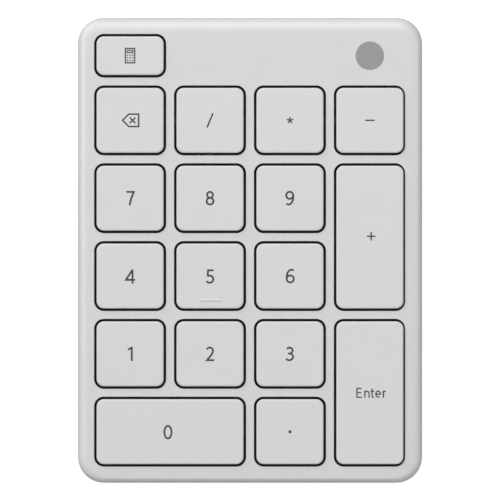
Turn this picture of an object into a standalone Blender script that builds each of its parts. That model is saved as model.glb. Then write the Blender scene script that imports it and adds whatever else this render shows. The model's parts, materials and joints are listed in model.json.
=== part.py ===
"""A slim wireless numeric keypad: eighteen scissor keys in a wedge-shaped plastic case.

Two frames are used. The deck frame lies in the sloping top face: x to the right, y to the rear, z out
of the face, and its origin is in the middle of the face. The base frame is the world: z = 0 is the desk
that the rubber feet stand on, and the origin is the middle of the footprint.
"""

import math

import bmesh
import bpy
from mathutils import Matrix, Vector

MM = 0.001

# Key grid. A well is the opening in the top case that a keycap stands in.
PITCH_X = 19.05 * MM
PITCH_Y = 18.55 * MM
WEB = 2.0 * MM
MARGIN = 3.97 * MM
FUNCTION_WELL_L = 10.28 * MM
KEY_GAP = 0.5 * MM
COLUMNS = 4
ROWS = 5

# Name, column, row (0 is the short function row), columns wide, rows long.
KEYS = [
    ("calculator", 0, 0, 1, 1),
    ("backspace", 0, 1, 1, 1),
    ("divide", 1, 1, 1, 1),
    ("multiply", 2, 1, 1, 1),
    ("minus", 3, 1, 1, 1),
    ("7", 0, 2, 1, 1),
    ("8", 1, 2, 1, 1),
    ("9", 2, 2, 1, 1),
    ("plus", 3, 2, 1, 2),
    ("4", 0, 3, 1, 1),
    ("5", 1, 3, 1, 1),
    ("6", 2, 3, 1, 1),
    ("1", 0, 4, 1, 1),
    ("2", 1, 4, 1, 1),
    ("3", 2, 4, 1, 1),
    ("enter", 3, 4, 1, 2),
    ("0", 0, 5, 2, 1),
    ("decimal", 2, 5, 1, 1),
]

# Clearances. GAP parts the shells, FIT is around a piece in its hole, and TOUCH is between faces that
# bear on each other. ROOT is how far a post or catch starts inside the wall that it stands on.
GAP = 0.3 * MM
FIT = 0.2 * MM
TOUCH = 0.1 * MM
ROOT = 0.3 * MM

# Case.
CASE_W = COLUMNS * PITCH_X - WEB + 2 * MARGIN
CASE_L = FUNCTION_WELL_L + ROWS * PITCH_Y + 2 * MARGIN
CASE_R = 6.2 * MM
WELL_R = 2.3 * MM
TILT = math.radians(2.5)
FRONT_DEPTH = 6.0 * MM
FOOT_H = 0.8 * MM
DECK_T = 1.2 * MM
SHOULDER_IN = 2.6 * MM
SHOULDER_DROP = 1.9 * MM
WALL = 1.6 * MM
PARTING = -3.0 * MM
LIP_OUT = 0.9 * MM
LIP_H = 1.2 * MM
LIP_END_GAP = 0.05 * MM
BELLY_R = 1.6 * MM
FLOOR = 1.4 * MM
FLOOR_TOP = FOOT_H + FLOOR

# Layers under the keys, as heights in the deck frame.
DOME_WEB_TOP = -3.20 * MM
DOME_WEB_T = 0.25 * MM
MEMBRANE_TOP = -3.55 * MM
MEMBRANE_T = 0.30 * MM
PLATE_TOP = -3.95 * MM
PLATE_T = 0.50 * MM
LAYER_IN = 3.2 * MM
TAIL_X = -8.0 * MM
TAIL_Y = 21.7 * MM
TAIL_W = 8.0 * MM
TAIL_T = 0.2 * MM
TAIL_SLOT = 1.2 * MM

# Keycap. CAP_EDGE is the rounding of its top, as (inset, drop) from the face to the side.
CAP_TOP = 0.8 * MM
CAP_BOTTOM = -1.6 * MM
CAP_ROOF = -0.2 * MM
CAP_WALL = 1.0 * MM
CAP_R = WELL_R - KEY_GAP
CAP_EDGE = ((0.40 * MM, 0.0), (0.12 * MM, 0.10 * MM), (0.0, 0.38 * MM))

# Catches: small blocks under the keycap and on the support plate, beside the scissor's bars.
CATCH_T = 0.4 * MM
CATCH_GAP = 0.45 * MM
CATCH_OUTER_W = 1.2 * MM
CATCH_INNER_W = 0.8 * MM
CATCH_IN = 0.75 * MM
CATCH_MIDDLE = 0.7 * MM
CAP_CATCH_END = -1.2 * MM
PLATE_CATCH_END = -2.3 * MM

# Scissor link. Its sizes are the bars' width, the gap between the frames and the outer frame's width.
LINK_T = 0.7 * MM
LINK_HIGH = -0.85 * MM
LINK_LOW = -2.6 * MM
LINK_OUTER_L = 10.0 * MM
LINK_NEST = 0.3 * MM
LINK_PIN = 0.5 * MM
LINK_SIZES = (1.1 * MM, 0.4 * MM, 12.0 * MM)
LINK_SIZES_SHORT = (0.8 * MM, 0.25 * MM, 7.0 * MM)

# Domes, and the webs that join them.
DOME_R = 2.4 * MM
DOME_R_SHORT = 1.5 * MM
DOME_WALL = 0.35 * MM
DOME_SKIRT = 0.4 * MM
DOME_CROWN = 0.52
DOME_RUNNER_W = 2.2 * MM

# Stabiliser wire of a key two units long.
WIRE_D = 0.6 * MM
WIRE_HIGH = -1.0 * MM
WIRE_LOW = -2.7 * MM
WIRE_LEG = 8.0 * MM
WIRE_HALF = 12.5 * MM
WIRE_SIDE = 6.25 * MM
WIRE_FOOT = 1.4 * MM
WIRE_BEND = 0.8 * MM
CLIP_AT = 8.5 * MM
CLIP_W = 1.6 * MM
CLIP_T = 0.4 * MM
CLIP_GAP = 0.15 * MM
HOOK_W = 0.9 * MM
HOOK_T = 0.5 * MM

# Case screws, on web crossings where no well is cut.
SCREW_POST_R = 2.0 * MM
SCREW_R = 0.8 * MM
SCREW_HEAD_R = 1.5 * MM
SCREW_HEAD_T = 0.9 * MM
SCREW_SINK = 0.35 * MM
RECESS_REACH = 0.9 * MM
RECESS_W = 0.44 * MM
RECESS_DEPTH = 0.5 * MM
BOSS_R = 2.4 * MM
POST_END = -5.0 * MM

# Heat stakes that hold the support plate to the top case.
STAKE_POST_R = 0.95 * MM
STAKE_R = 0.55 * MM
STAKE_HEAD_R = 1.1 * MM
STAKE_HEAD_T = 0.4 * MM

# Battery bay in the base frame.
CELL_R = 10.0 * MM
CELL_T = 3.2 * MM
CELL_Y = 38.0 * MM
CELL_Z = 1.9 * MM
BAY_HALF_W = 16.0 * MM
BAY_FRONT = 25.2 * MM
BAY_REAR = 50.5 * MM
BAY_TOP = 4.6 * MM
GATE_HALF_W = 8.5 * MM
DOOR_HALF_W = 13.0 * MM
DOOR_TONGUE = 1.0 * MM
DOOR_FRONT = 26.0 * MM
DOOR_STEP = 1.35 * MM
DOOR_TOP = 1.8 * MM
DOOR_RISE = 0.15 * MM
GRIP_START = 4.0 * MM
GRIP_PITCH = 1.6 * MM
GRIP_W = 10.0 * MM
GRIP_L = 0.8 * MM
GRIP_DEPTH = 0.3 * MM
GRIP_COUNT = 3

# Main board in the base frame.
BOARD_W = 54.0 * MM
BOARD_L = 17.0 * MM
BOARD_Y = 13.0 * MM
BOARD_Z = 3.7 * MM
BOARD_T = 0.8 * MM
BOARD_R = 1.5 * MM
PEG_R = 1.0 * MM
PEG_IN = 2.5 * MM
LEAF_T = 0.2 * MM
RADIO_X = 10.0 * MM
RADIO_W = 13.0 * MM
RADIO_L = 10.0 * MM
RADIO_H = 1.1 * MM
CONNECTOR_Y = BOARD_Y + 2.5 * MM
CONNECTOR_L = 3.0 * MM
CONNECTOR_H = 0.5 * MM
SWITCH_W = 3.6 * MM
SWITCH_L = 3.0 * MM
SWITCH_H = 0.6 * MM
PLUNGER_R = 0.7 * MM
PLUNGER_H = 0.3 * MM
BUTTON_X = -17.0 * MM
BUTTON_R = 1.8 * MM
BUTTON_STEP = 1.6 * MM
COLLAR_OUT = 0.8 * MM
COLLAR_T = 0.35 * MM

# Feet in the base frame.
FOOT_X = 28.0 * MM
FOOT_Y = 48.0 * MM
FOOT_W = 16.0 * MM
FOOT_L = 5.0 * MM
FOOT_R = 1.5 * MM
FOOT_CHAMFER = 0.3 * MM
FOOT_SINK = 0.45 * MM
FOOT_GAP = 0.15 * MM

# How finely round shapes are divided.
ROUND_CASE = 5
ROUND_KEY = 3
SIDES = 12
SMALL_SIDES = 8
CELL_SIDES = 24
SMOOTH_BELOW = math.radians(35)


# ---------------------------------------------------------------------------------------------------
# Frames and placing
# ---------------------------------------------------------------------------------------------------


def depth(y):
    """How far the level underside lies below the deck, at a place y along the deck frame."""
    return FRONT_DEPTH + (y + CASE_L / 2) * math.tan(TILT)


def deck_matrix():
    """The deck frame in the world, with the middle of the footprint at the origin."""
    front = -CASE_L / 2 * math.cos(TILT) + SHOULDER_DROP * math.sin(TILT)
    rear = CASE_L / 2 * math.cos(TILT) + (depth(CASE_L / 2) - BELLY_R) * math.sin(TILT)
    height = FOOT_H + depth(0) * math.cos(TILT)
    return Matrix.Translation((0, -(front + rear) / 2, height)) @ Matrix.Rotation(TILT, 4, "X")


def well_of(column, row, columns, rows):
    """The centre x, centre y, width and length of a key's well in the deck frame."""
    width = columns * PITCH_X - WEB
    left = -CASE_W / 2 + MARGIN + column * PITCH_X
    if row == 0:
        length = FUNCTION_WELL_L
        rear = CASE_L / 2 - MARGIN
    else:
        length = rows * PITCH_Y - WEB
        rear = CASE_L / 2 - MARGIN - FUNCTION_WELL_L - WEB - (row - 1) * PITCH_Y
    return left + width / 2, rear - length / 2, width, length


def web_crossing(column, row):
    """The middle of the crossing of webs behind that row's wells and left of that column's wells."""
    x = -CASE_W / 2 + MARGIN + column * PITCH_X - WEB / 2
    y = CASE_L / 2 - MARGIN - FUNCTION_WELL_L - WEB / 2 - (row - 1) * PITCH_Y
    return x, y


SCREWS = {
    "rear_left": web_crossing(1, 1),
    "rear_right": web_crossing(3, 1),
    "front": web_crossing(2, 5),
}
STAKES = [web_crossing(*place) for place in ((2, 1), (1, 3), (3, 3), (1, 5), (3, 5))]


# ---------------------------------------------------------------------------------------------------
# Shapes
# ---------------------------------------------------------------------------------------------------


def rounded(width, length, radius, segments, x=0.0, y=0.0):
    """The points of a rounded rectangle, counterclockwise."""
    points = []
    for turn, (sx, sy) in enumerate(((1, 1), (-1, 1), (-1, -1), (1, -1))):
        cx = x + sx * (width / 2 - radius)
        cy = y + sy * (length / 2 - radius)
        for step in range(segments + 1):
            angle = math.pi / 2 * (turn + step / segments)
            points.append((cx + radius * math.cos(angle), cy + radius * math.sin(angle)))
    return points


def rectangle(width, length):
    """The corners of a rectangle around the origin, counterclockwise."""
    x, y = width / 2, length / 2
    return [(x, y), (-x, y), (-x, -y), (x, -y)]


def circle(radius, sides=SIDES, x=0.0, y=0.0):
    """The points of a regular polygon around (x, y)."""
    angles = [2 * math.pi * (i + 0.5) / sides for i in range(sides)]
    return [(x + radius * math.cos(a), y + radius * math.sin(a)) for a in angles]


def add_loft(shape, rings):
    """Adds a closed body to a bmesh: a skin over rings of equally many points, with both ends capped."""
    loops = [[shape.verts.new(point) for point in ring] for ring in rings]
    for lower, upper in zip(loops, loops[1:]):
        for i in range(len(lower)):
            j = (i + 1) % len(lower)
            shape.faces.new((lower[i], lower[j], upper[j], upper[i]))
    shape.faces.new(list(reversed(loops[0])))
    shape.faces.new(loops[-1])


def add_prism(shape, outline, low, high):
    """Adds an upright prism over an outline."""
    add_loft(shape, [[(x, y, z) for x, y in outline] for z in (low, high)])


def add_box(shape, x, y, z):
    """Adds a box, given its (low, high) along each axis."""
    corners = [(x[0], y[0]), (x[1], y[0]), (x[1], y[1]), (x[0], y[1])]
    add_prism(shape, corners, *z)


def add_turned(shape, profile, sides=SIDES, x=0.0, y=0.0):
    """Adds a round body, given its (radius, height) from one end to the other."""
    add_loft(shape, [[(px, py, z) for px, py in circle(r, sides, x, y)] for r, z in profile])


def add_strip(shape, path, thickness, x):
    """Adds a flat strip that follows a path of (y, z) points, between two values of x."""
    points = [Vector(p) for p in path]
    sides = []
    for i, point in enumerate(points):
        before = (point - points[i - 1]).normalized() if i else None
        after = (points[i + 1] - point).normalized() if i + 1 < len(points) else None
        along = ((before or after) + (after or before)).normalized()
        reach = thickness / 2 / along.dot(after or before)
        across = Vector((-along.y, along.x)) * reach
        sides.append((point + across, point - across))
    outline = [a for a, _ in sides] + [b for _, b in reversed(sides)]
    add_loft(shape, [[(at, p.x, p.y) for p in outline] for at in x])


def new_object(name, shape, material=None, parent=None):
    """Turns a bmesh into an object whose faces point out."""
    bmesh.ops.recalc_face_normals(shape, faces=shape.faces)
    mesh = bpy.data.meshes.new(name)
    shape.to_mesh(mesh)
    shape.free()
    smooth(mesh)
    return place(name, mesh, material, parent)


def place(name, mesh, material=None, parent=None):
    """An object of a mesh, with its material and parent."""
    if material and not mesh.materials:
        mesh.materials.append(material)
    obj = bpy.data.objects.new(name, mesh)
    bpy.context.scene.collection.objects.link(obj)
    obj.parent = parent
    return obj


def helper(name, build, parent=None):
    """A hidden object for Booleans, made by a function that fills a bmesh."""
    shape = bmesh.new()
    build(shape)
    obj = new_object(name, shape, parent=parent)
    obj.hide_render = True
    obj.display_type = "WIRE"
    return obj


def combine(obj, other, operation):
    """Adds a Boolean with another object."""
    modifier = obj.modifiers.new(other.name, "BOOLEAN")
    modifier.operation = operation
    modifier.object = other
    modifier.solver = "EXACT"
    return obj


def settle(obj):
    """Applies an object's Booleans, removes their helpers and marks the sharp edges that they made."""
    bpy.context.view_layer.update()
    mesh = bpy.data.meshes.new_from_object(obj.evaluated_get(bpy.context.evaluated_depsgraph_get()))
    helpers = [modifier.object for modifier in obj.modifiers]
    obj.modifiers.clear()
    obj.data = mesh
    for done in helpers:
        bpy.data.objects.remove(done)
    smooth(mesh)
    return obj


def mesh_alone(obj):
    """The mesh of a settled object, without the object."""
    mesh = settle(obj).data
    bpy.data.objects.remove(obj)
    return mesh


def smooth(mesh):
    """Smooth shading with sharp edges kept."""
    mesh.shade_smooth()
    mesh.set_sharp_from_angle(angle=SMOOTH_BELOW)


def finish_material(name, colour, roughness, metallic=0.0):
    """A plain material."""
    material = bpy.data.materials.new(name)
    material.use_nodes = True
    shader = material.node_tree.nodes["Principled BSDF"]
    shader.inputs["Base Color"].default_value = (*colour, 1.0)
    shader.inputs["Roughness"].default_value = roughness
    shader.inputs["Metallic"].default_value = metallic
    return material


# ---------------------------------------------------------------------------------------------------
# Case
# ---------------------------------------------------------------------------------------------------


def case_ring(inset, height):
    """A ring of the case's outline. height is a number, or a function of y."""
    radius = max(CASE_R - inset, 0.5 * MM)
    outline = rounded(CASE_W - 2 * inset, CASE_L - 2 * inset, radius, ROUND_CASE)
    return [(x, y, height(y) if callable(height) else height) for x, y in outline]


def arc_steps(count):
    """(cosine, sine) from 90 degrees down to 0."""
    angles = [math.pi / 2 * (1 - i / count) for i in range(count + 1)]
    return [(math.cos(a), math.sin(a)) for a in angles]


def top_case(deck, plastic):
    """The upper shell: a flat deck with a well for each key, a rounded shoulder and a rebated skirt."""
    rings = [
        case_ring(SHOULDER_IN * (1 - c), -SHOULDER_DROP * (1 - s)) for c, s in arc_steps(4)
    ]
    rebate = PARTING + LIP_H - LIP_END_GAP
    rings += [
        case_ring(0, PARTING),
        case_ring(LIP_OUT - FIT, PARTING),
        case_ring(LIP_OUT - FIT, rebate),
        case_ring(WALL, rebate),
        case_ring(WALL, -DECK_T),
    ]
    shape = bmesh.new()
    add_loft(shape, rings)
    case = new_object("top_case", shape, plastic, deck)

    def posts(shape):
        root = -DECK_T + ROOT
        for x, y in SCREWS.values():
            add_turned(shape, [(SCREW_POST_R, root), (SCREW_POST_R, POST_END)], x=x, y=y)
        rest = PLATE_TOP + TOUCH
        head = PLATE_TOP - PLATE_T - TOUCH
        profile = [(STAKE_POST_R, root), (STAKE_POST_R, rest), (STAKE_R, rest), (STAKE_R, head)]
        profile += [(STAKE_HEAD_R, head), (0.7 * STAKE_HEAD_R, head - STAKE_HEAD_T)]
        for x, y in STAKES:
            add_turned(shape, profile, SMALL_SIDES, x, y)

    def cuts(shape):
        for _, *cell in KEYS:
            x, y, width, length = well_of(*cell)
            outline = rounded(width, length, WELL_R, ROUND_KEY, x, y)
            add_prism(shape, outline, -DECK_T - MM, MM)
        bore = SCREW_R + TOUCH
        for x, y in SCREWS.values():
            add_turned(shape, [(bore, PARTING), (bore, POST_END - MM)], x=x, y=y)

    combine(case, helper("top_case_posts", posts, deck), "UNION")
    combine(case, helper("top_case_cuts", cuts, deck), "DIFFERENCE")
    settle(case)


def belly_rings():
    """Rings from the edge of the level underside up the rounded belly to the outer wall."""
    rings = []
    for c, s in arc_steps(3):
        lift = BELLY_R * (1 - s)
        rings.append(case_ring(BELLY_R * (1 - c), lambda y, lift=lift: lift - depth(y)))
    return rings


def bottom_case(deck, plastic):
    """The lower shell: a tray with a level underside, a lip for the top case, and a battery bay."""
    top = PARTING - GAP
    rings = belly_rings() + [
        case_ring(0, top),
        case_ring(LIP_OUT, top),
        case_ring(LIP_OUT, PARTING + LIP_H - GAP),
        case_ring(WALL, PARTING + LIP_H - GAP),
        case_ring(WALL, lambda y: FLOOR - depth(y)),
    ]
    shape = bmesh.new()
    add_loft(shape, rings)
    case = new_object("bottom_case", shape, plastic, deck)

    def bosses(shape):
        for x, y in SCREWS.values():
            bottom = FLOOR / 2 - depth(y)
            add_turned(shape, [(BOSS_R, bottom), (BOSS_R, POST_END - GAP)], x=x, y=y)

    def bay(shape):
        outline = rounded(2 * BAY_HALF_W, BAY_REAR - BAY_FRONT, MM, 2, 0, (BAY_REAR + BAY_FRONT) / 2)
        root = FLOOR_TOP - FLOOR / 3
        add_prism(shape, outline, root, BAY_TOP)
        shelf = BOARD_Z - TOUCH
        for x in board_pegs():
            profile = [(2 * PEG_R, root), (2 * PEG_R, shelf), (PEG_R, shelf), (PEG_R, shelf + BOARD_T)]
            add_turned(shape, profile, x=x, y=BOARD_Y)

    def screw_holes(shape):
        for x, y in SCREWS.values():
            seat = SCREW_SINK + SCREW_HEAD_T + TOUCH - depth(y)
            wide, narrow = SCREW_HEAD_R + FIT, SCREW_R + FIT
            profile = [(wide, -MM - depth(y)), (wide, seat), (narrow, seat), (narrow, POST_END + MM)]
            add_turned(shape, profile, x=x, y=y)

    def base_cuts(shape):
        round_bay = [(CELL_R + GAP, DOOR_STEP), (CELL_R + GAP, BAY_TOP + MM)]
        add_turned(shape, round_bay, CELL_SIDES, y=CELL_Y)
        narrow, wide = BUTTON_R + FIT, BUTTON_R + COLLAR_OUT + GAP
        hole = [(narrow, 0), (narrow, BUTTON_STEP), (wide, BUTTON_STEP), (wide, FLOOR_TOP + MM)]
        add_turned(shape, hole, x=BUTTON_X, y=BOARD_Y)
        for x, y in feet_places():
            add_prism(shape, foot_outline(x, y, FOOT_GAP), 0, FOOT_H + FOOT_SINK)

    def slot(shape):
        add_loft(shape, door_section(True))

    def contact_gate(shape):
        y = (BAY_FRONT - MM, CELL_Y - 0.7 * CELL_R)
        add_box(shape, (-GATE_HALF_W, GATE_HALF_W), y, (FLOOR_TOP + FIT, BAY_TOP + MM))

    combine(case, helper("bottom_case_bosses", bosses, deck), "UNION")
    combine(case, helper("bottom_case_bay", bay), "UNION")
    combine(case, helper("bottom_case_screw_holes", screw_holes, deck), "DIFFERENCE")
    combine(case, helper("bottom_case_base_cuts", base_cuts), "DIFFERENCE")
    combine(case, helper("bottom_case_door_slot", slot), "DIFFERENCE")
    combine(case, helper("bottom_case_contact_gate", contact_gate), "DIFFERENCE")
    settle(case)


def board_pegs():
    """The places along x of the two pegs that hold the main board."""
    return [side * (BOARD_W / 2 - PEG_IN) for side in (-1, 1)]


def feet_places():
    """The middles of the four feet in the base frame."""
    return [(x, y) for y in (-FOOT_Y, FOOT_Y) for x in (-FOOT_X, FOOT_X)]


def foot_outline(x, y, grow=0.0):
    """The outline of a foot, a bar with rounded corners."""
    return rounded(FOOT_W + 2 * grow, FOOT_L + 2 * grow, FOOT_R + grow, 2, x, y)


def feet(rubber):
    """Four rubber feet, each set into a shallow pocket."""
    for x, y in feet_places():
        shape = bmesh.new()
        rings = []
        top = FOOT_H + FOOT_SINK - FOOT_GAP
        for grow, z in ((-FOOT_CHAMFER, 0), (0, FOOT_CHAMFER), (0, top)):
            rings.append([(px, py, z) for px, py in foot_outline(x, y, grow)])
        add_loft(shape, rings)
        name = f"foot_{'rear' if y > 0 else 'front'}_{'right' if x > 0 else 'left'}"
        new_object(name, shape, rubber)


def door_section(is_slot):
    """Two rings of a T section, upside down: the battery door, or the slightly larger slot for it."""
    side, rise = (FIT, DOOR_RISE) if is_slot else (0.0, 0.0)
    inner = DOOR_HALF_W + side
    outer = inner + DOOR_TONGUE
    step = DOOR_STEP - rise
    half = [(inner, -MM), (inner, step), (outer, step), (outer, DOOR_TOP + rise)]
    section = half + [(-x, z) for x, z in reversed(half)]
    return [[(x, y, z) for x, z in section] for y in (DOOR_FRONT - side, CASE_L)]


def battery_door(deck, plastic):
    """The door is the piece of the underside that its T section takes, with three grooves to grip."""
    shape = bmesh.new()
    add_loft(shape, door_section(False))
    door = new_object("battery_door", shape, plastic)

    def hull(shape):
        add_loft(shape, belly_rings() + [case_ring(0, PARTING - GAP)])

    def grip(shape):
        for i in range(GRIP_COUNT):
            y = DOOR_FRONT + GRIP_START + i * GRIP_PITCH
            x, z = (-GRIP_W / 2, GRIP_W / 2), (-MM, FOOT_H + GRIP_DEPTH)
            add_box(shape, x, (y, y + GRIP_L), z)

    combine(door, helper("battery_door_hull", hull, deck), "INTERSECT")
    combine(door, helper("battery_door_grip", grip), "DIFFERENCE")
    settle(door)


# ---------------------------------------------------------------------------------------------------
# Keys
# ---------------------------------------------------------------------------------------------------


def key_kind(row, columns, rows):
    """What a key's hidden parts depend on: (columns, rows, is it short, is its scissor turned)."""
    return columns, rows, row == 0, row == 0 or rows > 1


def scissor_sizes(short):
    """(bar width, side gap, outer frame's width) of a key's scissor."""
    return LINK_SIZES_SHORT if short else LINK_SIZES


def catch_places(short):
    """(along, across) of the catches past an outer bar, then of those inside an inner bar."""
    bar, gap, width = scissor_sizes(short)
    outer = LINK_OUTER_L / 2 + CATCH_GAP
    inner = LINK_OUTER_L / 2 - 2 * bar - LINK_NEST - CATCH_GAP
    inner_across = width / 2 - 2 * bar - gap - CATCH_IN
    return outer, width / 4, inner, max(inner_across, CATCH_MIDDLE)


def add_catches(shape, kind, facing, low, high, x=0.0, y=0.0):
    """Adds the four catches of a key. facing is 1 for the keycap's and -1 for the support plate's."""
    _, _, short, turned = kind
    outer, outer_across, inner, inner_across = catch_places(short)
    for along, across, wide in (
        (facing * outer, outer_across, CATCH_OUTER_W),
        (-facing * inner, inner_across, CATCH_INNER_W),
    ):
        for side in (-1, 1):
            u = (along - CATCH_T / 2, along + CATCH_T / 2)
            v = (side * across - wide / 2, side * across + wide / 2)
            us, vs = (u, v) if turned else (v, u)
            add_box(shape, (x + us[0], x + us[1]), (y + vs[0], y + vs[1]), (low, high))


def keycap_mesh(kind):
    """A hollow keycap with rounded top edges, scissor catches and, on a long key, clips for its wire."""
    columns, rows, short, _ = kind
    _, _, width, length = well_of(0, 0 if short else 1, columns, rows)
    width -= 2 * KEY_GAP
    length -= 2 * KEY_GAP

    def ring(inset, z):
        outline = rounded(width - 2 * inset, length - 2 * inset, CAP_R - inset, ROUND_KEY)
        return [(x, y, z) for x, y in outline]

    rings = [ring(inset, CAP_TOP - drop) for inset, drop in CAP_EDGE]
    rings += [ring(0.0, CAP_BOTTOM), ring(CAP_WALL, CAP_BOTTOM), ring(CAP_WALL, CAP_ROOF)]
    shape = bmesh.new()
    add_loft(shape, rings)
    cap = new_object("keycap", shape)

    def catches(shape):
        add_catches(shape, kind, 1, CAP_CATCH_END, CAP_ROOF + ROOT)
        if columns * rows > 1:
            for end in (-1, 1):
                add_clip(shape, columns > rows, end * CLIP_AT)

    combine(cap, helper("keycap_catches", catches), "UNION")
    return mesh_alone(cap)


def add_clip(shape, lies_across, along):
    """Adds a jaw under the roof. It holds the stabiliser wire's long bar against the cap's wall."""
    face = WIRE_SIDE - WIRE_D / 2 - CLIP_GAP
    near = (face - CLIP_T, face)
    wide = (along - CLIP_W / 2, along + CLIP_W / 2)
    x, y = (wide, near) if lies_across else (near, wide)
    add_box(shape, x, y, (WIRE_HIGH - WIRE_D / 2, CAP_ROOF + ROOT))


def scissor_mesh(short, turned):
    """Two nested frames that cross at their middles, joined by the two pivot pins."""
    bar, gap, width = scissor_sizes(short)
    inner_l = LINK_OUTER_L - 2 * bar - 2 * LINK_NEST
    inner_w = width - 2 * bar - 2 * gap
    rise = (LINK_HIGH - LINK_LOW) / 2
    frames = []
    for long, wide, lean in ((LINK_OUTER_L, width, 1), (inner_l, inner_w, -1)):
        shape = bmesh.new()
        outer = rectangle(wide, long)
        inner = rectangle(wide - 2 * bar, long - 2 * bar)
        rings = [(outer, -LINK_T / 2), (outer, LINK_T / 2), (inner, LINK_T / 2), (inner, -LINK_T / 2)]
        loops = [[shape.verts.new((x, y, z)) for x, y in outline] for outline, z in rings]
        for one, two in zip(loops, loops[1:] + loops[:1]):
            for i in range(len(one)):
                j = (i + 1) % len(one)
                shape.faces.new((one[i], one[j], two[j], two[i]))
        angle = lean * math.asin(rise / (long / 2 - bar / 2))
        turn = Matrix.Rotation(angle, 4, "X")
        bmesh.ops.transform(shape, matrix=turn, verts=shape.verts)
        frames.append(new_object("scissor_frame", shape))

    def pins(shape):
        for side in (-1, 1):
            ends = (side * (inner_w / 2 - bar / 2), side * (width / 2 - bar / 2))
            thick = (-LINK_PIN / 2, LINK_PIN / 2)
            add_box(shape, (min(ends), max(ends)), thick, thick)

    combine(frames[0], helper("scissor_pins", pins), "UNION")
    combine(frames[0], frames[1], "UNION")
    mesh = mesh_alone(frames[0])
    if turned:
        mesh.transform(Matrix.Rotation(-math.pi / 2, 4, "Z"))
    mesh.transform(Matrix.Translation((0, 0, (LINK_HIGH + LINK_LOW) / 2)))
    return mesh


def keys(deck, materials):
    """A keycap and a scissor for each key, each with its origin on the key's axis."""
    caps, scissors = {}, {}
    for name, column, row, columns, rows in KEYS:
        x, y, _, _ = well_of(column, row, columns, rows)
        kind = key_kind(row, columns, rows)
        if kind not in caps:
            caps[kind] = keycap_mesh(kind)
        if kind[2:] not in scissors:
            scissors[kind[2:]] = scissor_mesh(*kind[2:])
        cap = place(f"keycap_{name}", caps[kind], materials["keycap"], deck)
        link = place(f"scissor_{name}", scissors[kind[2:]], materials["link"], deck)
        cap.location = link.location = (x, y, 0)


def wire_places():
    """(key's name, centre x, centre y, whether the wire lies along x) of each key two units long."""
    places = []
    for name, column, row, columns, rows in KEYS:
        if columns * rows > 1:
            x, y, _, _ = well_of(column, row, columns, rows)
            places.append((name, x, y, columns > rows))
    return places


def stabiliser_wires(deck, steel):
    """A bent wire under each long key: a bar clipped to the cap, and two legs down to the plate."""
    drop = WIRE_LOW - WIRE_HIGH
    reach = math.sqrt(WIRE_LEG**2 - drop**2)
    for name, x, y, lies_across in wire_places():
        corners = []
        for side in (-1, 1):
            end = [
                Vector((side * (WIRE_HALF + WIRE_FOOT), -reach, drop)),
                Vector((side * WIRE_HALF, -reach, drop)),
                Vector((side * WIRE_HALF, 0, 0)),
            ]
            corners += end if side < 0 else end[::-1]
        points = bend_corners(corners, WIRE_BEND)
        curve = bpy.data.curves.new(f"stabiliser_wire_{name}", "CURVE")
        curve.dimensions = "3D"
        curve.bevel_depth = WIRE_D / 2
        curve.bevel_resolution = 1
        curve.use_fill_caps = True
        spline = curve.splines.new("POLY")
        spline.points.add(len(points) - 1)
        for at, point in zip(spline.points, points):
            at.co = (*point, 1)
        curve.materials.append(steel)
        wire = bpy.data.objects.new(f"stabiliser_wire_{name}", curve)
        bpy.context.scene.collection.objects.link(wire)
        wire.parent = deck
        if lies_across:
            wire.location = (x, y + WIRE_SIDE, WIRE_HIGH)
        else:
            wire.location = (x + WIRE_SIDE, y, WIRE_HIGH)
            wire.rotation_euler = (0, 0, -math.pi / 2)


def bend_corners(corners, radius, steps=3):
    """The path with each inner corner replaced by a short arc."""
    points = [corners[0]]
    for before, corner, after in zip(corners, corners[1:], corners[2:]):
        start = corner + (before - corner).normalized() * radius
        end = corner + (after - corner).normalized() * radius
        for i in range(steps + 1):
            t = i / steps
            points.append(start * (1 - t) ** 2 + corner * 2 * t * (1 - t) + end * t**2)
    return [*points, corners[-1]]


# ---------------------------------------------------------------------------------------------------
# Layers under the keys
# ---------------------------------------------------------------------------------------------------


def add_layer(shape, top, thickness):
    """Adds a sheet that fills the case inside its lip."""
    outline = rounded(CASE_W - 2 * LAYER_IN, CASE_L - 2 * LAYER_IN, CASE_R - LAYER_IN, 2)
    add_prism(shape, outline, top - thickness, top)


def add_post_holes(shape, low, high, stake_hole):
    """Adds cutters that let the screw posts and the heat stakes pass."""
    for x, y in SCREWS.values():
        post_hole = SCREW_POST_R + 2 * FIT
        add_turned(shape, [(post_hole, low), (post_hole, high)], SMALL_SIDES, x, y)
    for x, y in STAKES:
        add_turned(shape, [(stake_hole, low), (stake_hole, high)], SMALL_SIDES, x, y)


def wire_hooks():
    """(x, y, lies along x) of the plate hooks that hold the feet of the stabiliser wires."""
    drop = WIRE_LOW - WIRE_HIGH
    reach = math.sqrt(WIRE_LEG**2 - drop**2)
    places = []
    for _, x, y, lies_across in wire_places():
        for side in (-1, 1):
            along = side * (WIRE_HALF + WIRE_FOOT - HOOK_W / 2)
            back = WIRE_SIDE - reach - WIRE_D / 2 - FIT - HOOK_T / 2
            places.append((x + along, y + back, True) if lies_across else (x + back, y + along, False))
    return places


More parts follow.
